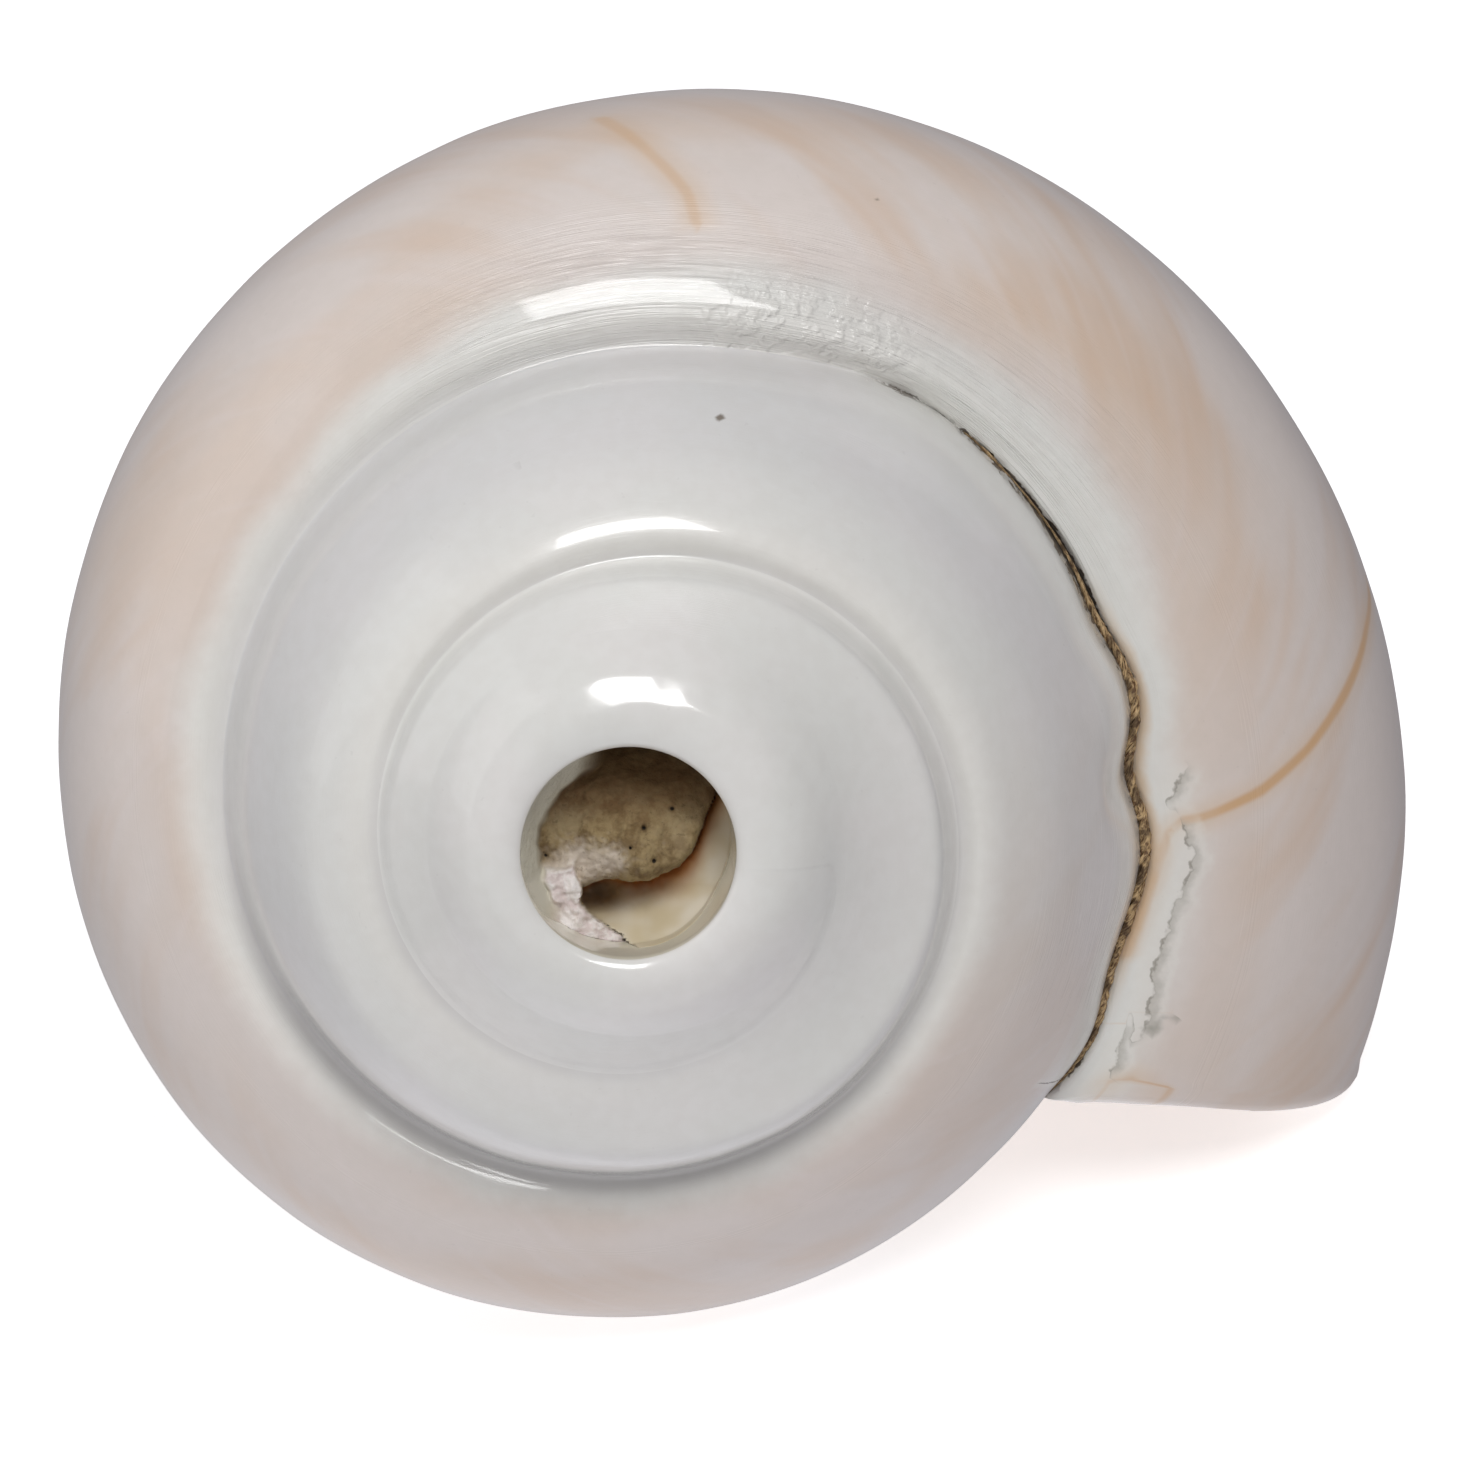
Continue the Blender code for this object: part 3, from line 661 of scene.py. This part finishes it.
def signed_distance(paths, t, v):
    """Distance in mm over the surface to the nearest path, negative on one side, and 1 beside the path."""
    size = np.exp(GROWTH * t)
    spot = np.stack([t * AROUND_MM, v * ACROSS_MM], axis=1)
    nearest, side, past = np.full(len(t), 1e3), np.ones(len(t)), np.zeros(len(t))
    for path in paths:
        keys = np.array(path, float) * (AROUND_MM, ACROSS_MM)
        for number, (start, end) in enumerate(zip(keys, keys[1:])):
            length = np.linalg.norm(end - start)
            along = (end - start) / length
            reach = (spot - start) @ along
            gap = spot - start - np.clip(reach, 0.0, length)[:, None] * along
            distance = np.linalg.norm(gap, axis=1)
            closer = distance < nearest
            nearest = np.where(closer, distance, nearest)
            side = np.where(closer, np.sign(gap[:, 1] * along[0] - gap[:, 0] * along[1]), side)
            before = -reach if number == 0 else 0 * reach
            after = reach - length if number == len(keys) - 2 else 0 * reach
            past = np.where(closer, np.maximum(before, after), past)
    here = (1 - smoothstep(0.0, 0.9, past)) * (1 - smoothstep(4.0, 6.0, nearest * size))
    return np.minimum(nearest * size, FAR_AWAY) * np.where(side < 0, -1.0, 1.0), here


def distance_to_spots(spots, t, v):
    size = np.exp(GROWTH * t)
    gaps = [np.hypot((t - spot[0]) * AROUND_MM, (v - spot[1]) * ACROSS_MM) for spot in spots]
    return np.min(gaps, axis=0) * size


def carved_shell():
    """The shell's mesh about its own axis in mm, with the hollow, the gutter and the bore cut out."""
    outside = outside_mesh()
    shape_by_hand(outside)
    shell = add_object("shell_skin", outside)
    cutters = []
    for name, build in (("cut_hollow", hollow_mesh), ("cut_gutter", gutter_mesh), ("cut_bore", bore_mesh)):
        cutter = add_object(name, build())
        modifier = shell.modifiers.new(name, "BOOLEAN")
        modifier.operation = "DIFFERENCE"
        modifier.solver = "MANIFOLD"
        modifier.object = cutter
        cutters.append(cutter)
    bpy.context.view_layer.update()
    mesh = bpy.data.meshes.new_from_object(shell.evaluated_get(bpy.context.evaluated_depsgraph_get()))
    shell.modifiers.clear()
    shell.data = mesh
    for cutter in cutters:
        bpy.data.objects.remove(cutter)
    t, v, kind = read(mesh.attributes["growth"].data, "vector", 3).astype(float).T
    outside = kind < 0.5
    distance, here = signed_distance(ORANGE_LINES, t, v)
    set_vectors(mesh, "orange", "CORNER", distance, here * outside, distance_to_spots(SPECKS, t, v))
    distance, here = signed_distance(SCAR, t, v)
    # the scar's foot, where a grey shadow is painted
    foot, foot_shadow_here = signed_distance(SCAR_FOOT_SHADOW, t, v)
    foot = np.abs(foot) + FAR_AWAY * (1 - foot_shadow_here * outside)
    set_vectors(mesh, "scar", "CORNER", distance, here * outside, foot)
    return shell


def seam_point(t, out, lift):
    """Points by the suture: out and lift are in mm from where the two whorls meet."""
    radius, depth = place_on_whorl(t, 0.0)
    return around(t, radius + SEAM_CURVE(t) + out, depth - lift)


def strand(grid, t, out, lift, thick, number):
    """A closed round strand along the suture."""
    turn = TURN * np.arange(STRAND_SIDES) / STRAND_SIDES
    out = out[:, None] + thick[:, None] * np.cos(turn)
    lift = lift[:, None] + thick[:, None] * np.sin(turn)
    along = t[:, None]
    grid.tube(seam_point(along, out, lift), along * 10 + number, np.arange(STRAND_SIDES) / STRAND_SIDES)


def residue_mesh():
    """Brown residue, grown and rubbed into a twisted cord of strands and loose fibres."""
    grid = Grid()
    t = np.linspace(RESIDUE[0][0], RESIDUE[-1][0], RESIDUE_STEPS)
    half = np.interp(t, *np.transpose(RESIDUE))
    length = np.concatenate([[0.0], np.cumsum(place_on_whorl(t[1:], 0.0)[0] * np.diff(t))])
    ends = smoothstep(0.0, 0.8, length) * smoothstep(0.0, 0.8, length[-1] - length)
    for number in range(THICK_STRANDS + FIBRES):
        crumble = noise_at(length * 1.7, number * 5.3, 0.0)
        stray = noise_at(length * 0.6, number * 3.1, 9.0)
        if number < THICK_STRANDS:
            turns = length / RESIDUE_TWIST + number / THICK_STRANDS
            reach = half * (0.46 + 0.25 * stray)
            thick = half * (0.5 + 0.3 * crumble)
        else:
            turns = length / (RESIDUE_TWIST * 1.7) + number / FIBRES
            reach = half * (0.8 + 0.3 * stray)
            thick = np.minimum(FIBRE_RADIUS, 0.4 * half) * (1 + 0.5 * crumble)
        twist = TURN * turns + 1.5 * stray
        lift = reach * np.sin(twist) - 0.15 * half - 0.05
        strand(grid, t, reach * np.cos(twist), lift, thick * (0.15 + 0.85 * ends), number)
    return grid.mesh("residue", 1e-5)


def hill(x, y, at, wide):
    """A round hill over the plane, 1 high, at a place and with half widths across and down."""
    return np.exp(-(((x - at[0]) / wide[0]) ** 2) - ((y - at[1]) / wide[1]) ** 2)


def core_surface(x, y):
    """Depth of what is seen in the bore, what it is made of and where shade is painted, x to the right and y
    down the view in mm.
    """
    coarse, middle, small = (noise_at(x / size, y / size, 3.0 * size) for size in CORE_GRAINS)
    below = y - CORE_MASS(np.clip(x, *CORE_MASS.x[[0, -1]])) + 0.18 * middle + 0.08 * small
    right = x - CORE_LEDGE(np.clip(y, *CORE_LEDGE.x[[0, -1]])) + 0.16 * middle + 0.1 * small
    in_passage = smoothstep(-0.06, 0.1, below) * smoothstep(-0.06, 0.1, right)

    mass = MASS_DEPTH - 1.6 * hill(x, y, (1.2, 0.3), (3.4, 2.2)) + 0.14 * np.maximum(0.0, -y - 1.0) ** 2
    mass = mass + 0.45 * coarse + 0.3 * middle + 0.12 * small
    mass = mass + 1.5 * (1 - np.sqrt(1 - np.clip(below / 1.1 + 1, 0, 1) ** 2))
    passage = PASSAGE_DEPTH + 4.6 * hill(x, y, (-2.2, 3.1), (1.6, 1.0)) + 1.6 * np.exp(-below / 0.9)
    passage = passage - 0.95 * np.maximum(0.0, y - 2.2) ** 1.2 - 0.5 * np.maximum(0.0, x - 1.0) + 0.1 * coarse
    depth = mass + (passage - mass) * in_passage

    is_ledge = smoothstep(0.4, 1.6, y + 0.25 * x + 1.2 + 0.5 * middle) * (1 - smoothstep(-0.1, 0.06, right))
    ledge = LEDGE_DEPTH + 0.21 * (x + 5.0) + 0.075 * np.maximum(0.0, y - 3.0) + 0.3 * middle + 0.22 * small
    depth = depth + (ledge - depth) * is_ledge
    away = np.hypot(x, y)
    is_wall = smoothstep(5.5, 5.95, away + 0.3 * middle) * smoothstep(-2.9, -4.8, x + 0.25 * y)
    depth = depth + (WALL_DEPTH + 2.1 * (CORE_RADIUS - away) - depth) * is_wall
    pits = np.max([hill(x, y, at, (size, size)) for *at, size in CORE_PITS], axis=0)
    pits = pits * (1 - in_passage)
    depth = depth + 0.45 * pits

    # painted shade: orange-brown in the passage just below the mass's overhanging edge
    edge_shade = in_passage * np.exp(-np.maximum(below, 0.0) / (0.6 + 0.3 * np.maximum(0.0, x - 1.0)))
    pale = hill(x, y, (-3.2, 0.9), (1.7, 1.5)) + 0.6 * hill(x, y, (-1.0, 0.6), (1.0, 1.0))
    # painted shade: positive towards the top of the bore, under the rim; negative, paler, by the ledge
    top_shade_ledge_pale = 0.75 * smoothstep(-0.4, -4.2, y + 0.35 * middle) - np.minimum(pale + 0.25 * small, 1.0)
    made_of_and_shade = (1 - in_passage) * (1 - is_ledge), is_ledge * (1 - is_wall), edge_shade
    return depth, made_of_and_shade, (is_wall, pits, top_shade_ledge_pale)


def core_mesh():
    """The broken inner whorls and the chalky mass that close most of the bore, as one closed body."""
    grid = Grid()
    angle = TURN * np.arange(CORE_SIDES) / CORE_SIDES
    reach = CORE_RADIUS * (np.arange(1, CORE_RINGS + 1) / CORE_RINGS)[:, None]
    x, y = reach * np.cos(angle), reach * np.sin(angle)
    depth, made_of_and_shade, worn = core_surface(x, y)
    x, y = x + CORE_ASIDE, y + VIEW_RUNS * (depth - CORE_SEEN_FROM)
    away = np.hypot(x, y)
    bore = np.interp(depth, [d for _, d in BORE], [radius for radius, _ in BORE])
    share = np.minimum(1.0, (bore - CORE_GAP) / away)
    share[-1] = (bore[-1] + CORE_BITES) / away[-1]
    x, y = x * share, y * share
    turn = math.radians(-CAMERA_TURNS[2])
    across = x * math.cos(turn) + y * math.sin(turn) + BORE_CENTRE[0]
    down = x * math.sin(turn) - y * math.cos(turn) + BORE_CENTRE[1]
    rings = [*np.stack([across, down, -depth], axis=-1)]
    foot = rings[-1].copy()
    foot[:, 2] = -CORE_BOTTOM
    foot[:, :2] = (foot[:, :2] - BORE_CENTRE) * CORE_FOOT_SHARE + BORE_CENTRE
    grid.tube([*rings, foot])
    mesh = grid.mesh("core", 1e-6)
    last = np.zeros((1, CORE_SIDES))
    # worn holds the drilled wall, the pits and the painted shade at the top
    for name, parts in (("made_of_and_shade", made_of_and_shade), ("worn", worn)):
        set_vectors(mesh, name, "POINT", *(np.concatenate([part, last]).ravel() for part in parts))
    return mesh


class Recipe:
    """The nodes of a material or of the world, written as functions of sockets and numbers."""

    def __init__(self, owner):
        owner.use_nodes = True
        self.owner = owner
        self.nodes, self.links = owner.node_tree.nodes, owner.node_tree.links

    def put(self, socket, value):
        if isinstance(value, bpy.types.NodeSocket):
            self.links.new(value, socket)
        elif value is not None:
            socket.default_value = value

    def shade(self, **inputs):
        """Sets the shader's inputs, named with underscores for spaces, and returns the material."""
        for name, value in inputs.items():
            self.put(self.nodes["Principled BSDF"].inputs[name.replace("_", " ")], value)
        return self.owner

    def node(self, kind, *values, **settings):
        """A new node with its settings, and values or sockets in its first inputs."""
        node = self.nodes.new("ShaderNode" + kind)
        for name, value in settings.items():
            setattr(node, name, value)
        for socket, value in zip(node.inputs, values):
            self.put(socket, value)
        return node

    def math(self, operation, a, b=None):
        return self.node("Math", a, b, operation=operation).outputs[0]

    def add(self, total, *others):
        for other in others:
            total = self.math("ADD", total, other)
        return total

    def times(self, product, *others):
        for other in others:
            product = self.math("MULTIPLY", product, other)
        return product

    def within(self, value, low, high, at_low=0.0, at_high=1.0):
        """A soft step from at_low, where value is at low, to at_high, where it is at high."""
        node = self.node("MapRange", value, low, high, at_low, at_high, interpolation_type="SMOOTHSTEP")
        return node.outputs[0]

    def span(self, value, low, full, full_until, high):
        """1 where value is from full to full_until, fading to 0 at low and at high."""
        return self.times(self.within(value, low, full), self.within(value, high, full_until))

    def split(self, socket):
        return self.node("SeparateXYZ", socket).outputs

    def attribute(self, name):
        """The three numbers of an attribute of the mesh."""
        return self.split(self.node("Attribute", attribute_name=name).outputs["Vector"])

    def vector(self, x, y, z):
        return self.node("CombineXYZ", x, y, z).outputs[0]

    def place(self, kind="Object"):
        return self.node("TexCoord").outputs[kind]

    def noise(self, vector, scale, detail, rough=0.5):
        return self.node("TexNoise", vector, None, scale, detail, rough).outputs[0]

    def stray(self, noise, size):
        """A noise about zero, as wide as size."""
        return self.times(self.add(noise, -0.5), size)

    def colour(self, factor, a, b):
        node = self.node("Mix", factor, data_type="RGBA")
        for socket, value in zip([s for s in node.inputs if s.type == "RGBA"], (a, b)):
            self.put(socket, value)
        return next(s for s in node.outputs if s.type == "RGBA")

    def tint(self, under, mask, share, *over):
        """The colour under with a tone over it, as far as mask and share say."""
        return self.colour(self.times(mask, share), under, tone(*over))

    def bump(self, *heights):
        """A normal from noises and how high each stands, in metres."""
        height = self.add(*(self.times(noise, high) for noise, high in heights))
        node = self.node("Bump")
        for name, value in (("Height", height), ("Strength", 1.0), ("Distance", 1.0)):
            self.put(node.inputs[name], value)
        return node.outputs[0]


def tone(red, green, blue):
    """A colour as a screen shows it, made linear."""
    shares = (value / 255 for value in (red, green, blue))
    return (*(((s + 0.055) / 1.055) ** 2.4 if s > 10 / 255 else s / 12.92 for s in shares), 1.0)


class ShellRecipe(Recipe):
    """The shell's own material, with the places and noises that its sections share."""

    def __init__(self):
        super().__init__(bpy.data.materials.new("polished_shell_skin"))
        self.t, self.v, self.kind = self.attribute("growth")
        place = self.place()
        self.cloud = self.noise(place, 110.0, 2.0)
        self.fine = self.noise(place, 900.0, 2.0)
        self.chips = self.noise(place, 1400.0, 2.0, 0.7)
        self.reground = self.span(self.t, -3.1, -2.3, -1.5, -0.8)
        self.bubbly = self.times(self.span(self.t, -2.2, -2.0, -1.75, -1.6), self.within(self.v, 0.24, 0.14))
        shift = self.add(self.times(self.cloud, 0.14), self.times(self.fine, 0.02))
        ragged = self.add(self.v, self.add(shift, -0.085), self.times(self.reground, -0.075))
        self.coloured = self.times(self.within(ragged, 0.045, 0.19), self.within(self.t, -7.6, -5.8))

    def only(self, kind):
        """1 on one kind of surface and 0 on the others."""
        number = KINDS.index(kind)
        return self.span(self.kind, number - 0.5, number - 0.1, number + 0.1, number + 0.5)


def last_whorl_colour(r):
    """Pinkish cream with beige streaks along the growth lines, peach patches, and a painted grey-blue shade
    towards the widest part.
    """
    t, v = r.t, r.v
    growth_line = r.add(t, r.times(v, 0.8))
    streaks = r.noise(r.vector(growth_line, r.times(v, 0.25), 0.0), 4.2, 3.0, 0.6)
    thin_streaks = r.noise(r.vector(growth_line, r.times(v, 0.12), 3.0), 15.0, 2.0, 0.6)
    patch = r.noise(r.vector(r.times(t, 0.8), r.times(v, 1.2), 7.0), 1.8, 2.0)
    peach = r.times(r.within(r.add(streaks, r.times(patch, 0.5)), 0.66, 0.98), r.within(v, 0.15, 0.45))
    colour = r.colour(r.within(patch, 0.38, 0.62), tone(231, 221, 214), tone(228, 212, 199))
    colour = r.tint(colour, peach, r.within(t, -3.2, -1.4, 0.34, 0.74), 221, 190, 162)
    colour = r.tint(colour, r.within(thin_streaks, 0.52, 0.75), 0.25, 235, 224, 220)
    # painted shade: grey-blue darkening towards the widest part and its edges
    return r.tint(colour, r.within(v, 0.6, 1.05), 0.4, 196, 190, 194)


def whorl_colours(r):
    """White spire and crest with painted grey shade in the valleys, and the last whorl's colour outside the
    white crest.
    """
    t, v = r.t, r.v
    below_top = r.within(t, -13.0, -10.5)
    inner = r.span(v, -0.15, -0.05, 0.0, 0.09)
    # painted shade: grey darkening in the valleys by the sutures, where shade falls
    valley_shade = r.times(r.within(v, 0.84, 1.0), r.within(t, -5.9, -6.4))
    valley_shade = r.math("MAXIMUM", valley_shade, r.times(inner, r.within(t, -1.6, -2.4)))
    older = r.times(r.within(v, 0.16, 0.6), r.within(t, -5.9, -6.6), below_top)
    crest = r.times(r.span(v, -0.15, -0.05, 0.1, 0.24), below_top)
    colour = r.colour(r.within(r.cloud, 0.35, 0.7), tone(234, 234, 229), tone(238, 236, 232))
    colour = r.tint(colour, older, 0.26, 207, 206, 212)
    colour = r.tint(colour, crest, 0.6, 242, 240, 233)
    # paints the grey valley shade onto the spire
    colour = r.tint(colour, r.times(valley_shade, below_top), 0.4, 200, 198, 198)
    return r.colour(r.coloured, colour, last_whorl_colour(r))


def inner_colours(r, colour):
    """The base, the mouth, the bore and the canal's gutter."""
    colour = r.tint(colour, r.within(r.v, 1.05, 1.6), 0.55, 228, 214, 196)
    glow = r.colour(r.within(r.cloud, 0.35, 0.65), tone(240, 214, 196), tone(234, 198, 180))
    colour = r.colour(r.times(r.only("hollow"), r.within(r.t, 0.7, 0.05)), colour, glow)
    colour = r.tint(colour, r.only("bore"), 1.0, 224, 220, 204)
    return r.tint(colour, r.only("gutter"), 0.8, 236, 222, 206)


def suture_colours(r, colour):
    """Pale margins, a tan stain and a dark cracked line before the lip that widens into a painted shadow
    beside the residue, and where that dark line is.
    """
    out, t, here = r.attribute("seam")
    beside = r.add(out, r.stray(r.fine, 0.5))
    colour = r.tint(colour, r.times(r.span(beside, -3.4, -0.8, 1.2, 3.6), here), 0.55, 240, 240, 234)
    stain = r.times(r.span(beside, 0.15, 0.5, 0.7, 1.5), r.span(t, -1.15, -0.85, -0.4, -0.18), here)
    colour = r.tint(colour, stain, 0.6, 214, 176, 124)
    gap = r.math("ABSOLUTE", r.add(out, r.stray(r.chips, 0.7), r.stray(r.fine, 0.7)))
    # a dark cracked line at first; from -1.5 on it widens beside the residue into a painted shadow
    width = r.within(t, -1.5, -1.1, 0.1, 0.36)
    patchy = r.within(r.add(r.cloud, r.within(t, -1.5, -1.2, 0.0, 0.5)), 0.36, 0.5)
    crack_and_shadow = r.times(r.within(r.math("DIVIDE", gap, width), 1.0, 0.6), r.within(t, -1.78, -1.66), here, patchy)
    return r.tint(colour, crack_and_shadow, 0.93, 74, 58, 40), crack_and_shadow


def growth_stop_colours(r, colour):
    """Orange lines where the shell once stopped growing, and dark specks."""
    distance, here, speck = r.attribute("orange")
    distance = r.math("ABSOLUTE", distance)
    line = r.times(r.within(r.add(distance, r.times(r.cloud, -0.3)), 0.42, -0.05), here)
    halo = r.times(r.within(r.add(distance, r.times(r.cloud, 1.2)), 2.6, 0.4), here)
    colour = r.tint(colour, halo, 0.46, 226, 192, 154)
    faint = r.within(r.add(r.cloud, r.times(r.v, 0.2)), 0.3, 0.62, 0.22, 0.67)
    faint = r.times(faint, r.within(r.v, 0.03, 0.13, 0.35, 1.0), r.within(r.t, -1.6, -1.2, 0.45, 1.0))
    return r.tint(colour, line, faint, 214, 164, 102), speck


def scar_colours(r, colour):
    """The scar by the lip: flaked white, with a thin broken outline, a painted grey shadow along one side and
    a painted grey shadow at its foot.
    """
    scar, here, foot = r.attribute("scar")
    jagged = r.add(scar, r.stray(r.fine, 1.1), r.stray(r.chips, 0.7))
    away = r.math("ABSOLUTE", jagged)
    colour = r.tint(colour, r.times(r.within(away, 1.5, 0.9), here), 0.42, 240, 238, 230)
    # painted shadow: grey on one side of the scar's outline
    colour = r.tint(colour, r.times(r.span(jagged, -0.05, 0.05, 0.1, 0.9), here), 0.45, 164, 160, 148)
    edge = r.times(r.within(away, 0.17, 0.04), here, r.within(r.fine, 0.42, 0.6, 0.25, 1.0))
    colour = r.tint(colour, edge, 0.62, 130, 123, 110)
    # painted shadow: grey at the scar's foot
    return r.tint(colour, r.within(r.add(foot, r.stray(r.fine, 0.8)), 0.85, 0.15), 0.6, 140, 136, 122)


def dirt_colours(r, colour, speck):
    """Specks, pits in the ground stretch of the crest, and a slight unevenness everywhere."""
    colour = r.tint(colour, r.within(r.add(speck, r.times(r.fine, 0.25)), 0.52, 0.25), 0.8, 96, 76, 48)
    pitted = r.times(r.within(r.chips, 0.71, 0.76), r.add(0.12, r.times(r.bubbly, 0.88)))
    colour = r.tint(colour, pitted, 0.5, 120, 112, 100)
    return r.tint(colour, r.within(r.fine, 0.3, 0.7), 0.07, 200, 192, 180)


def shell_material():
    """Ground and polished shell, glossiest on the white crest and spire and satin on the last whorl."""
    r = ShellRecipe()
    colour = inner_colours(r, whorl_colours(r))
    colour, crack_and_shadow = suture_colours(r, colour)
    colour, speck = growth_stop_colours(r, colour)
    colour = dirt_colours(r, scar_colours(r, colour), speck)
    satin = r.times(r.coloured, r.within(r.v, 0.16, 0.4))
    scratches = r.noise(r.vector(r.times(r.t, 5.0), r.times(r.v, 260.0), 0.0), 1.0, 1.0, 0.7)
    ground = r.times(r.reground, r.within(r.v, 0.5, 0.2))
    return r.shade(
        Base_Color=colour,
        Roughness=r.add(0.2, r.times(satin, 0.14), r.stray(scratches, 0.12), r.times(crack_and_shadow, 0.5)),
        Coat_Weight=r.add(0.75, r.times(satin, -0.5)),
        Coat_Roughness=0.07,
        Normal=r.bump(
            (r.fine, 0.00002),
            (scratches, r.add(0.000014, r.times(ground, 0.00009))),
            (r.times(r.within(r.fine, 0.4, 0.62), r.bubbly), 0.00011),
        ),
    )


def residue_material():
    """Dried brown fibres with golden strands."""
    r = Recipe(bpy.data.materials.new("suture_residue"))
    along, round_strand, _ = r.attribute("growth")
    fibres = r.noise(r.vector(r.times(along, 6.0), r.times(round_strand, 4.0), 0.0), 1.0, 2.0, 0.7)
    clots = r.noise(r.place(), 900.0, 2.0)
    colour = r.colour(r.within(fibres, 0.38, 0.6), tone(104, 76, 48), tone(206, 176, 130))
    return r.shade(
        Base_Color=r.tint(colour, r.within(clots, 0.5, 0.66), 0.75, 66, 46, 28),
        Roughness=r.add(0.55, r.times(clots, 0.3)),
        Normal=r.bump((fibres, 0.00008), (clots, 0.00006)),
    )


def core_material():
    """Chalky mass with painted shade towards the top and paler by the ledge, white chipped ledge, cream
    passage with an orange-brown painted shade along the mass's edge, and the drilled wall.
    """
    r = Recipe(bpy.data.materials.new("bore_core"))
    rough, ledge, edge_shade = r.attribute("made_of_and_shade")
    wall, pit, top_shade_ledge_pale = r.attribute("worn")
    place = r.place()
    lumps = r.noise(place, 700.0, 4.0, 0.65)
    fine = r.noise(place, 2600.0, 3.0, 0.7)
    blotch = r.noise(place, 260.0, 2.0)
    colour = r.colour(r.within(blotch, 0.35, 0.65), tone(232, 224, 206), tone(216, 202, 170))
    # paints orange-brown shade along the mass's edge
    colour = r.tint(colour, r.within(edge_shade, 0.05, 0.8), 0.9, 206, 140, 66)
    chalk = r.colour(r.within(lumps, 0.36, 0.62), tone(118, 96, 62), tone(154, 134, 96))
    chalk = r.tint(chalk, r.within(blotch, 0.5, 0.68), 0.35, 176, 160, 128)
    # paler by the ledge, and painted dark brown shade towards the top of the bore
    chalk = r.tint(chalk, r.within(top_shade_ledge_pale, 0.0, -0.9), 0.8, 214, 202, 188)
    chalk = r.tint(chalk, r.within(top_shade_ledge_pale, 0.0, 1.0), 0.7, 116, 82, 50)
    chalk = r.tint(chalk, r.within(fine, 0.58, 0.7), 0.4, 84, 66, 42)
    colour = r.colour(rough, colour, chalk)
    flaky = r.colour(r.within(lumps, 0.4, 0.6), tone(222, 208, 204), tone(242, 236, 232))
    colour = r.colour(ledge, colour, flaky)
    colour = r.tint(colour, wall, 1.0, 206, 202, 186)
    colour = r.tint(colour, r.within(pit, 0.3, 0.75), 1.0, 38, 30, 18)
    dull = r.math("MAXIMUM", rough, ledge)
    height = r.times(r.add(r.times(lumps, 0.00025), r.times(fine, 0.0001)), r.add(0.08, dull))
    return r.shade(Base_Color=colour, Roughness=r.add(0.38, r.times(dull, 0.5)), Normal=r.bump((height, 1.0)))


def add_floor():
    mesh = bpy.data.meshes.new("floor")
    corners = [(x * FLOOR_HALF, y * FLOOR_HALF, 0) for x, y in ((-1, -1), (1, -1), (1, 1), (-1, 1))]
    mesh.from_pydata(corners, [], [(0, 1, 2, 3)])
    r = Recipe(bpy.data.materials.new("floor_white"))
    white = (1.0, 1.0, 1.0, 1.0)
    mesh.materials.append(
        r.shade(Base_Color=FLOOR_COLOUR, Roughness=0.9, Emission_Color=white, Emission_Strength=FLOOR_GLOW)
    )
    floor = add_object("floor", mesh)
    floor.visible_diffuse = False
    floor.visible_glossy = False


def add_camera(rest):
    view = Matrix.Identity(4)
    for angle, axis in zip(CAMERA_TURNS, "XYZ"):
        view = view @ Matrix.Rotation(math.radians(angle), 4, axis)
    place = rest @ (Matrix.Translation(CAMERA_PLACE) @ view).inverted()
    data = bpy.data.cameras.new("camera")
    data.sensor_width = SENSOR_WIDTH
    data.lens = SENSOR_WIDTH * CAMERA_FOCUS
    data.clip_start = 0.01
    data.clip_end = 20.0
    camera = add_object("camera", data)
    camera.matrix_world = Matrix.Translation(place.translation) @ place.to_3x3().normalized().to_4x4()
    bpy.context.scene.camera = camera
    return camera


def add_light(camera, name, place, size, power):
    """A softbox placed from the camera's side of the shell and turned to it."""
    data = bpy.data.lights.new(name, "AREA")
    data.shape = "RECTANGLE"
    data.size, data.size_y = size
    data.energy = power
    target = Vector(LIGHT_TARGET)
    place = target + camera.matrix_world.to_3x3() @ Vector(place)
    facing = (target - place).to_track_quat("-Z", "Y")
    add_object(name, data).matrix_world = Matrix.Translation(place) @ facing.to_matrix().to_4x4()


def add_world():
    """Grey studio, darker to the right and brighter from below, where the white ground is."""
    r = Recipe(bpy.data.worlds.new("studio"))
    across, _, up = r.split(r.place("Generated"))
    background = r.nodes["Background"].inputs
    r.put(background["Color"], r.colour(r.within(across, *WORLD_ACROSS), WORLD_LEFT, WORLD_RIGHT))
    r.put(background["Strength"], r.within(up, *WORLD_DOWN, 1.0, WORLD_BELOW))
    bpy.context.scene.world = r.owner


def dress(piece, rest, material, sharp):
    """Puts a piece modelled in mm about the shell's axis into the frame, as part of the shell."""
    piece.data.transform(rest)
    piece.data.materials.clear()
    piece.data.materials.append(material)
    piece.data.shade_smooth()
    piece.data.set_sharp_from_angle(angle=math.radians(sharp))
    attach(piece, "root")
    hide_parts("shell")


def main():
    shell = carved_shell()
    rest = rest_matrix(coordinates(shell.data))
    dress(shell, rest, shell_material(), SHELL_SHARP)
    for name, build, material in (
        ("suture_residue", residue_mesh, residue_material),
        ("bore_core", core_mesh, core_material),
    ):
        dress(add_object(name, build()), rest, material(), DIRT_SHARP)
    add_floor()
    camera = add_camera(rest)
    for light in LIGHTS:
        add_light(camera, *light)
    add_world()
    bpy.context.scene.view_settings.view_transform = "Standard"


main()
